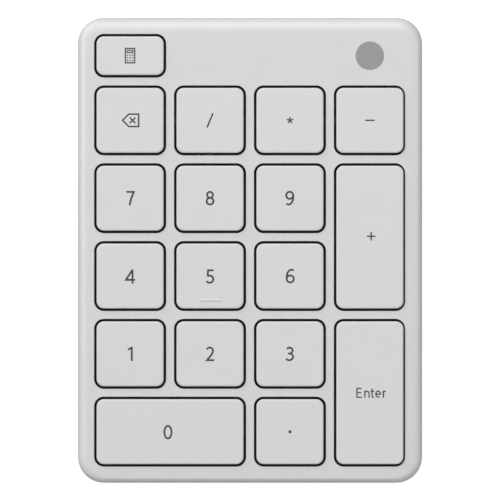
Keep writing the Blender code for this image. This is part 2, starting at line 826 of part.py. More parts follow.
def support_plate(deck, steel):
    """The steel plate that carries the keys, with a raised catch for each scissor bar and wire foot."""
    shape = bmesh.new()
    add_layer(shape, PLATE_TOP, PLATE_T)
    plate = new_object("support_plate", shape, steel, deck)
    root = PLATE_TOP - 0.2 * MM

    def catches(shape):
        for _, column, row, columns, rows in KEYS:
            x, y, _, _ = well_of(column, row, columns, rows)
            add_catches(shape, key_kind(row, columns, rows), -1, root, PLATE_CATCH_END, x, y)
        for x, y, lies_across in wire_hooks():
            a, b = (HOOK_W / 2, HOOK_T / 2) if lies_across else (HOOK_T / 2, HOOK_W / 2)
            add_box(shape, (x - a, x + a), (y - b, y + b), (root, PLATE_CATCH_END))

    def holes(shape):
        low, high = PLATE_TOP - PLATE_T - MM, PLATE_TOP + MM
        add_post_holes(shape, low, high, STAKE_R + FIT)
        half = TAIL_W / 2 + 4 * FIT
        slot_y = (TAIL_Y - TAIL_SLOT, TAIL_Y + TAIL_SLOT)
        add_box(shape, (TAIL_X - half, TAIL_X + half), slot_y, (low, high))

    combine(plate, helper("support_plate_catches", catches, deck), "UNION")
    combine(plate, helper("support_plate_holes", holes, deck), "DIFFERENCE")
    settle(plate)


def membrane_circuit(deck, film):
    """The switch film, with windows for the plate's catches and a tail that drops to the main board."""
    shape = bmesh.new()
    add_layer(shape, MEMBRANE_TOP, MEMBRANE_T)
    membrane = new_object("membrane_circuit", shape, film, deck)
    low, high = MEMBRANE_TOP - MEMBRANE_T - MM, MEMBRANE_TOP + MM

    def windows(shape):
        clear = 0.25 * MM
        add_post_holes(shape, low, high, STAKE_POST_R + 0.35 * MM)
        for _, column, row, columns, rows in KEYS:
            x, y, _, _ = well_of(column, row, columns, rows)
            _, _, short, turned = key_kind(row, columns, rows)
            outer, outer_across, inner, inner_across = catch_places(short)
            half_t, half_w = CATCH_T / 2 + GAP, CATCH_INNER_W / 2 + clear
            spots = [(-outer, 0.0, half_t, outer_across + CATCH_OUTER_W / 2 + 0.2 * MM)]
            spots += [(inner, side * inner_across, CATCH_T / 2 + clear, half_w) for side in (-1, 1)]
            for u, v, half_u, half_v in spots:
                us, vs = (u - half_u, u + half_u), (v - half_v, v + half_v)
                xs, ys = (us, vs) if turned else (vs, us)
                add_box(shape, (x + xs[0], x + xs[1]), (y + ys[0], y + ys[1]), (low, high))
        for x, y, lies_across in wire_hooks():
            a, b = HOOK_W / 2 + clear, HOOK_T / 2 + clear
            half_x, half_y = (a, b) if lies_across else (b, a)
            add_box(shape, (x - half_x, x + half_x), (y - half_y, y + half_y), (low, high))

    def tail(shape):
        middle = MEMBRANE_TOP - MEMBRANE_T / 2
        path = [
            (TAIL_Y + 2.5 * MM, middle),
            (TAIL_Y + 0.3 * MM, middle - 0.1 * MM),
            (TAIL_Y - 0.2 * MM, middle - 0.8 * MM),
            (TAIL_Y - 0.6 * MM, middle - 1.25 * MM),
            (TAIL_Y - 2.2 * MM, middle - 1.35 * MM),
        ]
        add_strip(shape, path, TAIL_T, (TAIL_X - TAIL_W / 2, TAIL_X + TAIL_W / 2))

    def tail_gap(shape):
        half = TAIL_W / 2 + 2 * FIT
        y = (TAIL_Y - TAIL_SLOT - GAP, TAIL_Y + TAIL_SLOT)
        add_box(shape, (TAIL_X - half, TAIL_X + half), y, (low, high))

    combine(membrane, helper("membrane_windows", windows, deck), "DIFFERENCE")
    combine(membrane, helper("membrane_tail_gap", tail_gap, deck), "DIFFERENCE")
    combine(membrane, helper("membrane_tail", tail, deck), "UNION")
    settle(membrane)


def dome_radius(row):
    """The radius of a dome where it stands on its web."""
    return DOME_R_SHORT if row == 0 else DOME_R


def dome_profile(base, inset):
    """(radius, height) of a dome, from its base to its crown. The hollow is inset."""
    crown = CAP_ROOF - TOUCH
    foot = DOME_WEB_TOP - DOME_WEB_T - MM if inset else DOME_WEB_TOP - 0.1 * MM
    return [
        (base - inset, foot),
        (base - inset, DOME_WEB_TOP + DOME_SKIRT - inset / 2),
        (DOME_CROWN * base - inset / 2, crown - inset * 2),
    ]


def dome_sheet(deck, silicone):
    """One moulding: a hollow rubber dome under each key, joined by narrow webs."""
    low, high = DOME_WEB_TOP - DOME_WEB_T, DOME_WEB_TOP
    centres = {name: well_of(*cell)[:2] for name, *cell in KEYS}
    half = DOME_RUNNER_W / 2

    def runner(first, last, along_x):
        (x0, y0), (x1, y1) = centres[first], centres[last]
        if along_x:
            return (x0, x1), (y1 - half, y1 + half)
        return (x0 - half, x0 + half), (y1, y0)

    def pads(shape):
        for name, _, row, _, _ in KEYS:
            x, y = centres[name]
            add_turned(shape, dome_profile(dome_radius(row), 0.0), SMALL_SIDES, x, y)

    def hollows(shape):
        for name, _, row, _, _ in KEYS:
            x, y = centres[name]
            add_turned(shape, dome_profile(dome_radius(row), DOME_WALL), SMALL_SIDES, x, y)

    runners = [("backspace", "minus", True), ("0", "decimal", True), ("calculator", "1", False)]
    runners += [("divide", "2", False), ("multiply", "decimal", False), ("minus", "enter", False)]
    shape = bmesh.new()
    add_box(shape, *runner(*runners[0]), (low, high))
    sheet = new_object("dome_sheet", shape, silicone, deck)
    for ends in runners[1:]:
        places = runner(*ends)
        bar = helper(f"dome_runner_{ends[0]}", lambda shape: add_box(shape, *places, (low, high)), deck)
        combine(sheet, bar, "UNION")
    combine(sheet, helper("dome_pads", pads, deck), "UNION")
    combine(sheet, helper("dome_hollows", hollows, deck), "DIFFERENCE")
    settle(sheet)


# ---------------------------------------------------------------------------------------------------
# Parts in the base
# ---------------------------------------------------------------------------------------------------


def case_screws(deck, steel):
    """Three screws that draw the shells together, with cross recesses."""
    for name, (x, y) in SCREWS.items():
        head = SCREW_SINK - depth(y)
        seat = head + SCREW_HEAD_T
        shape = bmesh.new()
        profile = [(SCREW_HEAD_R - 0.2 * MM, head), (SCREW_HEAD_R, head + 0.2 * MM)]
        profile += [(SCREW_HEAD_R, seat), (SCREW_R, seat)]
        profile += [(SCREW_R, PARTING - 0.4 * MM), (0.4 * SCREW_R, PARTING - 0.1 * MM)]
        add_turned(shape, profile, 10)
        screw = new_object(f"case_screw_{name}", shape, steel, deck)
        screw.location = (x, y, 0)

        def cross(shape, head=head):
            half = RECESS_W / 2
            outline = []
            for turn in range(4):
                angle = math.pi / 2 * turn
                for along, across in ((RECESS_REACH, -half), (RECESS_REACH, half), (half, half)):
                    px = along * math.cos(angle) - across * math.sin(angle)
                    py = along * math.sin(angle) + across * math.cos(angle)
                    outline.append((px, py))
            add_prism(shape, outline, head - MM, head + RECESS_DEPTH)

        recess = helper(f"case_screw_recess_{name}", cross, deck)
        recess.location = (x, y, 0)
        combine(screw, recess, "DIFFERENCE")
        settle(screw)


def coin_cell(steel):
    """A 20 mm coin cell, its wide can down and its smaller face up."""
    shape = bmesh.new()
    top = CELL_Z + CELL_T
    profile = [
        (CELL_R - 0.3 * MM, CELL_Z),
        (CELL_R, CELL_Z + 0.3 * MM),
        (CELL_R, top - 0.5 * MM),
        (CELL_R - 0.7 * MM, top - 0.3 * MM),
        (CELL_R - 1.2 * MM, top - 0.3 * MM),
        (CELL_R - 1.5 * MM, top),
    ]
    add_turned(shape, profile, CELL_SIDES, y=CELL_Y)
    new_object("coin_cell", shape, steel)


def battery_contacts(steel):
    """Two leaf springs from the board: one over the cell's small face and one on its rim."""
    root = BOARD_Z + BOARD_T + 0.2 * MM
    over = CELL_Z + CELL_T + 0.15 * MM
    shape = bmesh.new()
    path = [
        (BOARD_Y + 5.0 * MM, root),
        (BOARD_Y + 9.0 * MM, root),
        (BOARD_Y + 12.0 * MM, over + 0.15 * MM),
        (CELL_Y - 6.0 * MM, over + 0.2 * MM),
        (CELL_Y, over),
        (CELL_Y + 1.5 * MM, over + 0.25 * MM),
    ]
    add_strip(shape, path, LEAF_T, (-6.5 * MM, -2.5 * MM))
    new_object("negative_contact", shape, steel)

    shape = bmesh.new()
    path = [
        (BOARD_Y + 5.0 * MM, root),
        (BOARD_Y + 14.3 * MM, root),
        (BOARD_Y + 14.7 * MM, root - 0.4 * MM),
        (BOARD_Y + 14.7 * MM, FLOOR_TOP + 0.5 * MM),
    ]
    add_strip(shape, path, LEAF_T, (-1.0 * MM, 1.0 * MM))
    new_object("positive_contact", shape, steel)


def electronics(materials):
    """The main board with its radio can, tail connector and pairing switch."""
    shape = bmesh.new()
    outline = rounded(BOARD_W, BOARD_L, BOARD_R, 2, 0, BOARD_Y)
    add_prism(shape, outline, BOARD_Z, BOARD_Z + BOARD_T)
    board = new_object("main_board", shape, materials["board"])

    def holes(shape):
        hole = PEG_R + GAP
        for x in board_pegs():
            add_turned(shape, [(hole, BOARD_Z - MM), (hole, BOARD_Z + BOARD_T + MM)], x=x, y=BOARD_Y)

    combine(board, helper("main_board_holes", holes), "DIFFERENCE")
    settle(board)

    under = BOARD_Z - TOUCH
    shape = bmesh.new()
    rings = []
    for grow, z in ((-0.3 * MM, under - RADIO_H), (0, under - RADIO_H + 0.2 * MM), (0, under)):
        width, length = RADIO_W + 2 * grow, RADIO_L + 2 * grow
        outline = rounded(width, length, 0.8 * MM + grow, 1, RADIO_X, BOARD_Y)
        rings.append([(px, py, z) for px, py in outline])
    add_loft(shape, rings)
    new_object("radio_can", shape, materials["steel"])

    shape = bmesh.new()
    top = BOARD_Z + BOARD_T + TOUCH
    x = (TAIL_X - TAIL_W / 2 - MM, TAIL_X + TAIL_W / 2 + MM)
    y = (CONNECTOR_Y - CONNECTOR_L / 2, CONNECTOR_Y + CONNECTOR_L / 2)
    add_box(shape, x, y, (top, top + CONNECTOR_H))
    new_object("tail_connector", shape, materials["dark_plastic"])

    shape = bmesh.new()
    x = (BUTTON_X - SWITCH_W / 2, BUTTON_X + SWITCH_W / 2)
    y = (BOARD_Y - SWITCH_L / 2, BOARD_Y + SWITCH_L / 2)
    add_box(shape, x, y, (under - SWITCH_H, under))
    switch = new_object("pairing_switch", shape, materials["dark_plastic"])
    plunger = [(PLUNGER_R, under - SWITCH_H / 2), (PLUNGER_R, under - SWITCH_H - PLUNGER_H)]

    def stem(shape):
        add_turned(shape, plunger, SMALL_SIDES, BUTTON_X, BOARD_Y)

    combine(switch, helper("pairing_switch_plunger", stem), "UNION")
    settle(switch)

    shape = bmesh.new()
    collar = BUTTON_STEP + 0.15 * MM
    profile = [
        (BUTTON_R - 0.2 * MM, FOOT_H + 0.1 * MM),
        (BUTTON_R, FOOT_H + 0.3 * MM),
        (BUTTON_R, collar),
        (BUTTON_R + COLLAR_OUT, collar),
        (BUTTON_R + COLLAR_OUT, collar + COLLAR_T),
        (BUTTON_R / 2, collar + COLLAR_T),
        (BUTTON_R / 2, collar + COLLAR_T + 0.2 * MM),
    ]
    add_turned(shape, profile, x=BUTTON_X, y=BOARD_Y)
    new_object("pairing_button", shape, materials["keycap"])


def main():
    for obj in list(bpy.data.objects):
        bpy.data.objects.remove(obj)
    materials = {
        "case": finish_material("case_plastic", (0.66, 0.665, 0.68), 0.55),
        "keycap": finish_material("keycap_plastic", (0.66, 0.665, 0.68), 0.5),
        "link": finish_material("link_plastic", (0.75, 0.75, 0.72), 0.45),
        "silicone": finish_material("dome_silicone", (0.55, 0.56, 0.56), 0.6),
        "film": finish_material("membrane_film", (0.02, 0.02, 0.022), 0.35),
        "black_steel": finish_material("plate_steel", (0.015, 0.015, 0.017), 0.5, 0.6),
        "steel": finish_material("bright_steel", (0.62, 0.61, 0.59), 0.3, 1.0),
        "board": finish_material("board_laminate", (0.02, 0.10, 0.05), 0.45),
        "dark_plastic": finish_material("dark_plastic", (0.02, 0.02, 0.02), 0.45),
        "rubber": finish_material("foot_rubber", (0.42, 0.425, 0.43), 0.85),
    }
    deck = bpy.data.objects.new("deck_frame", None)
    bpy.context.scene.collection.objects.link(deck)
    deck.matrix_world = deck_matrix()

    top_case(deck, materials["case"])
    bottom_case(deck, materials["case"])
    battery_door(deck, materials["case"])
    feet(materials["rubber"])
    keys(deck, materials)
    stabiliser_wires(deck, materials["steel"])
    support_plate(deck, materials["black_steel"])
    membrane_circuit(deck, materials["film"])
    dome_sheet(deck, materials["silicone"])
    case_screws(deck, materials["steel"])
    coin_cell(materials["steel"])
    battery_contacts(materials["steel"])
    electronics(materials)


main()
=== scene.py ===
"""The looks of the numeric keypad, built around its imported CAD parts.

Two frames are used, as in the CAD. The deck frame lies in the sloping top face: x to the right, y to the
rear, z out of the face, with its origin in the middle of the face. The row frame is the world.
"""

import json
import math
from collections import namedtuple

import bmesh
import bpy
from mathutils import Matrix, Vector


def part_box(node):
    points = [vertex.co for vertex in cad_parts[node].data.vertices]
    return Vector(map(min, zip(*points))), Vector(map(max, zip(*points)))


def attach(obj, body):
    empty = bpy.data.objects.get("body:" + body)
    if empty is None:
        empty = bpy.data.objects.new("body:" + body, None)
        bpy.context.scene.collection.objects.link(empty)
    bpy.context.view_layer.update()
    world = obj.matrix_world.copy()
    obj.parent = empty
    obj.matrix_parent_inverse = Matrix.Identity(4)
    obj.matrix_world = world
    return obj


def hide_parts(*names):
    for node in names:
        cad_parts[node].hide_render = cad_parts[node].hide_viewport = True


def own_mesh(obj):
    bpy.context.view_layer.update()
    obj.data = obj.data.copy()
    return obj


MM = 0.001

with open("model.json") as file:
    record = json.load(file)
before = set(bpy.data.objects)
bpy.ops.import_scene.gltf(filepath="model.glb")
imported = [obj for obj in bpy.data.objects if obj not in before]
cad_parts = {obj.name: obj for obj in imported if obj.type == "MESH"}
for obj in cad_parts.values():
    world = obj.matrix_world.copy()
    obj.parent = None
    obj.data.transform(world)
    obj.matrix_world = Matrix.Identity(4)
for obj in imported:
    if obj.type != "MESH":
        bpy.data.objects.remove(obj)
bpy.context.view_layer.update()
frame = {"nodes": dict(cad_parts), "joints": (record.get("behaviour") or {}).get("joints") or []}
NODES = frame["nodes"]
JOINTS = {joint["name"]: joint for joint in frame["joints"]}

# Clearances, and how far shapes that are joined or cut reach into or past each other.
GAP = 0.3 * MM
SLACK = 0.2 * MM
CLEAR = 0.1 * MM
ROOT = 0.3 * MM
PAST = 1.0 * MM
FLAT_IN = 0.3 * MM

# Case. At the rear and the front the shoulder comes in by a multiple of what it does at the sides.
CASE_R = 6.2 * MM
CASE_LEAST_R = 0.5 * MM
SHOULDER_IN = 2.6 * MM
SHOULDER_DROP = 1.9 * MM
SHOULDER_LEAD = 0.1
REAR_SHOULDER = 1.35
FRONT_SHOULDER = 0.77
DECK_T = 1.2 * MM
WALL = 1.6 * MM
FLOOR = 1.4 * MM
BELLY_R = 1.6 * MM
BELLY_IN = 0.4 * MM
PARTING = -3.0 * MM
SEAM = 0.12 * MM
LIP_IN = 0.9 * MM
LIP_H = 1.2 * MM
REBATE_GAP = 0.05 * MM

# Wells and caps.
WELL_R = 2.3 * MM
WELL_GAP = 0.55 * MM
WELL_EDGE = 0.12 * MM
RIGHT_TRIM = 0.2 * MM
RIGHT_COLUMN = ("minus", "plus", "enter")
CAP_IN = 0.04 * MM
CAP_R = WELL_R - WELL_GAP
CAP_LEAST_R = 0.3 * MM
CAP_EDGE = 0.38 * MM
CAP_DRAFT = 0.02 * MM
CAP_WALL = 1.0 * MM
CAP_TAPER = 0.1 * MM
CAP_ROOF_T = 1.0 * MM
LONG_KEY = 25 * MM
SHORT_KEY = 12 * MM

# Screws, posts and stakes.
POST_END = -5.0 * MM
SCREW_POST_R = 2.0 * MM
SCREW_R = 0.9 * MM
SHANK_R = 0.8 * MM
CORE_R = 0.78 * SHANK_R
TIP_R = 0.4 * SHANK_R
TIP_L = 0.4 * MM
THREAD = 0.5 * MM
SCREW_HEAD_R = 1.5 * MM
SCREW_HEAD_T = 0.9 * MM
SCREW_SOFT = 0.3 * MM
SCREW_SEAT = 1.35 * MM
SCREW_HOLE_EDGE = 0.15 * MM
CROSS_REACH = 0.95 * MM
CROSS_HALF = 0.2 * MM
CROSS_DEPTH = 0.55 * MM
BOSS_R = 2.4 * MM
STAKE_POST_R = 0.95 * MM
STAKE_R = 0.55 * MM
STAKE_HEAD_R = 2 * STAKE_R
STAKE_HEAD_T = 0.4 * MM
PLATE_TOP = -3.95 * MM
PLATE_BOTTOM = -4.45 * MM

# Feet, battery bay, door, board and button in the row frame.
FOOT_R = 1.5 * MM
FOOT_SOFT = 0.35 * MM
FOOT_GAP = 0.15 * MM
BAY_HALF_W = 16.0 * MM
BAY_FRONT = 25.2 * MM
BAY_REAR = 50.5 * MM
BAY_TOP = 4.6 * MM
BAY_R = 1.0 * MM
GATE_HALF_W = 8.5 * MM
GATE_REACH = 0.35
DOOR_TONGUE = 1.0 * MM
DOOR_STEP = 1.35 * MM
DOOR_GAP_SIDE = 0.2 * MM
DOOR_GAP_UP = 0.15 * MM
GRIP_FIRST = 4.4 * MM
GRIP_STEP = 1.6 * MM
GRIP_HALF_T = 0.45 * MM
GRIP_DEPTH = 0.35 * MM
GRIP_HALF_W = 5.0 * MM
GRIP_END = 5.4 * MM
GRIP_TIP = 0.05
GRIP_COUNT = 3
PEG_R = 1.0 * MM
PEG_IN = 2.5 * MM
BUTTON_R = 1.8 * MM
BUTTON_STEP = 1.6 * MM
BUTTON_CROWN = 0.02 * MM
BUTTON_SOFT = 0.2 * MM
BUTTON_BORE = 1.1 * MM
COLLAR_OUT = 0.75 * MM
COLLAR_T = 0.35 * MM
COLLAR_GAP = 0.15 * MM

# Scissors, domes and stabiliser wires. A link's sizes: (bar width, side gap, outer frame's width). The
# ends of its pins are shares of the bar width. A dome's plunger and crown: (share of its radius, height
# from its top).
LINK_SIZES = (1.1 * MM, 0.4 * MM, 12.0 * MM)
SHORT_LINK_SIZES = (0.8 * MM, 0.25 * MM, 7.0 * MM)
LINK_L = 10.0 * MM
LINK_T = 0.7 * MM
LINK_SOFT = 0.12 * MM
LINK_HIGH = -0.85 * MM
LINK_LOW = -2.6 * MM
LINK_NEST = 0.3 * MM
LINK_R = 0.9 * MM
LINK_LEAST_R = 0.25 * MM
LINK_CORNER = 0.6
PIN_R = 0.3 * MM
PIN_ROOT = 0.8
PIN_END = 0.15
CATCH_LOW = -1.2 * MM
CATCH_OFF = 0.45 * MM
CATCH_HALF_T = 0.2 * MM
OUTER_CATCH_HALF_W = 0.6 * MM
INNER_CATCH_HALF_W = 0.4 * MM
INNER_CATCH_IN = 0.75 * MM
INNER_CATCH_LEAST = 0.7 * MM
WEB_TOP = -3.2 * MM
WEB_T = 0.25 * MM
WEB_HALF_W = 1.1 * MM
WEB_RIM = 0.3 * MM
DOME_R = 2.4 * MM
SHORT_DOME_R = 1.5 * MM
DOME_TOP = -0.3 * MM
DOME_WALL = 0.3 * MM
DOME_SEAT = 0.02 * MM
DOME_RIM_H = 0.35 * MM
DOME_RIM_IN = 0.1 * MM
DOME_FOOT_H = 0.6 * MM
DOME_INSIDE_H = 0.5 * MM
DOME_PLUNGER = ((0.3, -0.9 * MM), (0.4, -0.85 * MM))
DOME_CROWN = ((0.55, -0.55 * MM), (0.52, -0.1 * MM), (0.45, 0))
WIRE_R = 0.3 * MM
WIRE_Z = -1.0 * MM
WIRE_FOOT_Z = LINK_LOW - 0.1 * MM
WIRE_LEG = 8.0 * MM
WIRE_HALF = 12.5 * MM
WIRE_SIDE = 6.25 * MM
WIRE_FOOT = 1.4 * MM
WIRE_BEND = 0.8 * MM
CLIP_X = 8.5 * MM
CLIP_OFF = 0.35 * MM
CLIP_HALF_W = 0.8 * MM

# Printing, and the bar on the 5. The ink starts inside what it is printed on.
INK_T = 0.012 * MM
INK_ROOT = 4 * INK_T
INK_LIFT = 0.001 * MM
MITRE_LEAST = 0.3
DIGIT_H = 3.4 * MM
DIGIT_WEIGHT = 0.132
ENTER_H = 2.37 * MM
MARK_R = 3.4 * MM
LEGEND_SHIFT = {
    "0": (-0.5 * MM, -0.1 * MM),
    "4": (0, -0.12 * MM),
    "5": (0, -0.12 * MM),
    "plus": (0.3 * MM, 0.2 * MM),
    "enter": (0.28 * MM, 0),
}
BAR_L = 5.0 * MM
BAR_W = 0.5 * MM
BAR_H = 0.2 * MM
BAR_SOFT = 0.24 * MM
BAR_R = 0.245 * MM
BAR_Y = -5.78 * MM

# Coin cell: its CAD solid is a polygon, which the can just encloses.
CELL_OVER = 0.08 * MM
CELL_SOFT = 0.3 * MM
CELL_BASE_IN = 0.8 * MM
CELL_SHELF = 0.5 * MM
CELL_SHELF_SOFT = 0.4 * MM
SEAL_IN = 0.85 * MM
SEAL_W = 0.3 * MM
SEAL_EDGE = 0.35 * MM
SEAL_DROP = 0.3 * MM
CELL_CAP_IN = 1.2 * MM
CELL_CAP_SOFT = 0.3 * MM

# Chips on the board: (length, width, height), and the place of the first and the step to the next.
SMALL_CHIP = (0.8 * MM, 0.45 * MM, 0.45 * MM)
LARGE_CHIP = (1.2 * MM, 0.7 * MM, 0.6 * MM)
CHIP_COLUMNS = 7
CHIP_ROWS = 2
CHIP_X = (-11.5 * MM, 1.9 * MM)
CHIP_Y = (3.5 * MM, -6.0 * MM)
CHIP_SINK = 0.02 * MM

# Materials: how far a roughness strays, and how strong the bump is.
ROUGH_SPREAD = 0.04
BUMP = 0.35

# Studio. A light is (place, size, power). The sky's glow grows over a range of heights.
LIGHTS = {
    "rear": ((0.01, 0.355, 0.465), 0.30, 1.14),
    "rear_left": ((-0.80, 0.88, 0.60), 0.90, 7.50),
    "left": ((-0.90, 0.10, 0.90), 0.40, 3.00),
    "right": ((0.45, 0.05, 0.45), 0.20, 0.55),
    "front": ((0.0, -0.45, 0.45), 0.20, 0.64),
}
STAGE_HALF = 40
STAGE_T = 0.02
STAGE_GREY = 0.3
STAGE_ROUGH = 0.9
STAGE_GLOW = 0.85
SKY_RISE = (-0.15, 0.35)
SKY_GLOW = (0.25, 0.325)
VIEW_W = 119.2 * MM
VIEW_UP = 0.065 * MM
LENS = 400
SENSOR = 36
CLIP_END = 20

# Numbers of steps and sides, and the angle in degrees from which an edge stays sharp.
CORNER_STEPS = 14
SHOULDER_STEPS = 14
BELLY_STEPS = 8
KEY_STEPS = 10
EDGE_STEPS = 6
FOOT_STEPS = 8
BAR_STEPS = 6
SOFT_STEPS = 5
FINE_STEPS = 4
ROUND = 40
CELL_SIDES = 96
MARK_SIDES = 64
BUTTON_SIDES = 48
DOME_SIDES = 32
SMALL_SIDES = 24
PIN_SIDES = 20
DOT_SIDES = 12
SHARP = 30
SCREW_SHARP = 25
WIRE_SHARP = 50


# ---------- Frames ----------


def find_deck():
    """The deck frame: the keys' travel gives its tilt and the top case gives its origin."""
    down = Vector(JOINTS["key_5_press"]["axis"])
    turn = Matrix.Rotation(math.atan2(down.y, -down.z), 4, "X")
    low, high = box_in(turn, "top_case")
    middle = (low + high) / 2
    return turn @ Matrix.Translation((middle.x, middle.y, high.z))


def box_in(matrix, node):
    """The lowest and highest corners of a CAD node, in the frame that a matrix places."""
    inverse = matrix.inverted()
    points = [inverse @ vertex.co for vertex in NODES[node].data.vertices]
    low = Vector([min(axis) for axis in zip(*points)])
    high = Vector([max(axis) for axis in zip(*points)])
    return low, high


DECK = find_deck()
TILT = DECK.to_euler().x
TOP_LOW, TOP_HIGH = box_in(DECK, "top_case")
CASE_W = TOP_HIGH.x - TOP_LOW.x
CASE_L = TOP_HIGH.y - TOP_LOW.y
FOOT_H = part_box("bottom_case")[0].z


def box_of(node):
    """(centre, size) of a CAD node in the deck frame."""
    low, high = box_in(DECK, node)
    return (low + high) / 2, high - low


def base_box(node):
    """(centre, size) of a CAD node in the row frame."""
    low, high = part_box(node)
    return (low + high) / 2, high - low


KEYS = [name.removeprefix("keycap_") for name in NODES if name.startswith("keycap_")]
CAP_BOXES = {key: box_of(f"keycap_{key}") for key in KEYS}
CAP_TOP = CAP_BOXES["5"][0].z + CAP_BOXES["5"][1].z / 2
CAP_BOTTOM = CAP_BOXES["5"][0].z - CAP_BOXES["5"][1].z / 2
CAP_ROOF = CAP_TOP - CAP_ROOF_T
INK_LOW, INK_HIGH = CAP_TOP - INK_ROOT, CAP_TOP + INK_T


def between(axis, low_key, high_key):
    """The middle of the web between two keys, along an axis of the deck frame."""
    low, low_size = CAP_BOXES[low_key]
    high, high_size = CAP_BOXES[high_key]
    return (low[axis] + low_size[axis] / 2 + high[axis] - high_size[axis] / 2) / 2


STAKE_PLACES = [
    (between(0, "divide", "multiply"), between(1, "backspace", "calculator")),
    (between(0, "4", "5"), between(1, "5", "8")),
    (between(0, "6", "plus"), between(1, "6", "9")),
    (between(0, "1", "2"), between(1, "0", "1")),
    (between(0, "3", "enter"), between(1, "decimal", "3")),
]
FLOOR_TOP = FOOT_H + FLOOR
SCREWS = sorted(name for name in NODES if name.startswith("case_screw"))
SCREW_PLACES = [tuple(box_of(name)[0].xy) for name in SCREWS]
FEET = sorted(name for name in NODES if name.startswith("foot_"))
BOARD_LOW, BOARD_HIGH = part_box("main_board")
BOARD_MID = (BOARD_LOW + BOARD_HIGH) / 2
PEGS = (BOARD_LOW.x + PEG_IN, BOARD_HIGH.x - PEG_IN)
CELL, CELL_SIZE = base_box("coin_cell")
DOOR_LOW, DOOR_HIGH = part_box("battery_door")
DOOR_SIZE = DOOR_HIGH - DOOR_LOW
BUTTON = base_box("pairing_button")[0]


def depth(y):
    """How far the level underside lies below the deck, at a place y along the deck frame."""
    at = DECK @ Vector((0, y, 0))
    return (at.z - FOOT_H) / math.cos(TILT)


# ---------- Shapes ----------


def rounded(width, length, radius, steps, x=0.0, y=0.0):
    """The points of a rounded rectangle, counterclockwise."""
    points = []
    for turn, (sx, sy) in enumerate(((1, 1), (-1, 1), (-1, -1), (1, -1))):
        cx = x + sx * (width / 2 - radius)
        cy = y + sy * (length / 2 - radius)
        for step in range(steps + 1):
            angle = math.pi / 2 * (turn + step / steps)
            points.append((cx + radius * math.cos(angle), cy + radius * math.sin(angle)))
    return points


def circle(radius, sides=ROUND, x=0.0, y=0.0):
    """The points of a regular polygon around (x, y)."""
    angles = [2 * math.pi * (i + 0.5) / sides for i in range(sides)]
    return [(x + radius * math.cos(a), y + radius * math.sin(a)) for a in angles]


def arc(cx, cy, rx, ry, start, end, steps=16):
    """Points along an ellipse, from one angle to another in degrees."""
    angles = [math.radians(start + (end - start) * i / steps) for i in range(steps + 1)]
    return [(cx + rx * math.cos(a), cy + ry * math.sin(a)) for a in angles]


def quarter(steps):
    """(cosine, sine) from 90 degrees down to 0."""
    return arc(0, 0, 1, 1, 90, 0, steps)


def at_height(outline, height):
    """An outline's points at a height, which is a number or a function of y."""
    return [(x, y, height(y) if callable(height) else height) for x, y in outline]


def add_loft(shape, rings, closed=False):
    """Adds a skin over rings of equally many points. Its ends are capped, or it closes on itself."""
    loops = [[shape.verts.new(point) for point in ring] for ring in rings]
    pairs = list(zip(loops, loops[1:]))
    if closed:
        pairs.append((loops[-1], loops[0]))
    for lower, upper in pairs:
        for i in range(len(lower)):
            j = (i + 1) % len(lower)
            shape.faces.new((lower[i], lower[j], upper[j], upper[i]))
    if not closed:
        shape.faces.new(list(reversed(loops[0])))
        shape.faces.new(loops[-1])


def add_prism(shape, outline, low, high):
    """Adds an upright prism over an outline."""
    add_loft(shape, [at_height(outline, z) for z in (low, high)])


def add_box(shape, x, y, z):
    """Adds a box, given its (low, high) along each axis."""
    add_prism(shape, [(x[0], y[0]), (x[1], y[0]), (x[1], y[1]), (x[0], y[1])], *z)


def add_turned(shape, profile, sides=ROUND, x=0.0, y=0.0):
    """Adds a round body, given its (radius, height) from one end to the other."""
    add_loft(shape, [at_height(circle(r, sides, x, y), z) for r, z in profile])


def soft_edge(radius, low, soft, steps=SOFT_STEPS):
    """(radius, height) up round the lower edge of a round body."""
    return [(radius - soft * (1 - c), low + soft * (1 - s)) for c, s in quarter(steps)]


def soft_rim(radius, top, soft, steps=SOFT_STEPS):
    """(radius, height) up round the upper edge of a round body."""
    return [(radius - soft * (1 - c), top - soft * (1 - s)) for s, c in quarter(steps)]


def finished(shape, name):
    """A mesh of a bmesh: its faces point out and are shaded smooth up to sharp edges."""
    bmesh.ops.recalc_face_normals(shape, faces=shape.faces)
    mesh = bpy.data.meshes.new(name)
    shape.to_mesh(mesh)
    shape.free()
    return flattened(smoothed(mesh))


def smoothed(mesh, angle=SHARP):
    """The mesh, shaded smooth up to edges of at least an angle."""
    mesh.shade_smooth()
    mesh.set_sharp_from_angle(angle=math.radians(angle))
    return mesh


def mesh_of(name, build, *args):
    """A finished mesh filled by a function."""
    shape = bmesh.new()
    build(shape, *args)
    return finished(shape, name)


def placed(name, data, matrix=None, material=None):
    """An object in the scene, of a mesh, a curve, a light or a camera."""
    obj = bpy.data.objects.new(name, data)
    bpy.context.scene.collection.objects.link(obj)
    if matrix is not None:
        obj.matrix_world = matrix
    if material is not None and not data.materials:
        data.materials.append(material)
    return obj


def carved(name, mesh, steps, angle=SHARP):
    """The mesh after Booleans: each step is (operation, mesh, matrix or None)."""
    base = placed(name, mesh)
    others = []
    for number, (operation, other, place) in enumerate(steps):
        tool = placed(f"{name}_tool_{number}", other, place)
        modifier = base.modifiers.new(tool.name, "BOOLEAN")
        modifier.operation = operation
        modifier.object = tool
        modifier.solver = "EXACT"
        others.append(tool)
    result = evaluated(base)
    for done in (base, *others):
        bpy.data.objects.remove(done)
    result.materials.clear()
    return flattened(smoothed(result, angle))


def evaluated(obj):
    """The mesh of an object with its modifiers applied."""
    bpy.context.view_layer.update()
    return bpy.data.meshes.new_from_object(obj.evaluated_get(bpy.context.evaluated_depsgraph_get()))


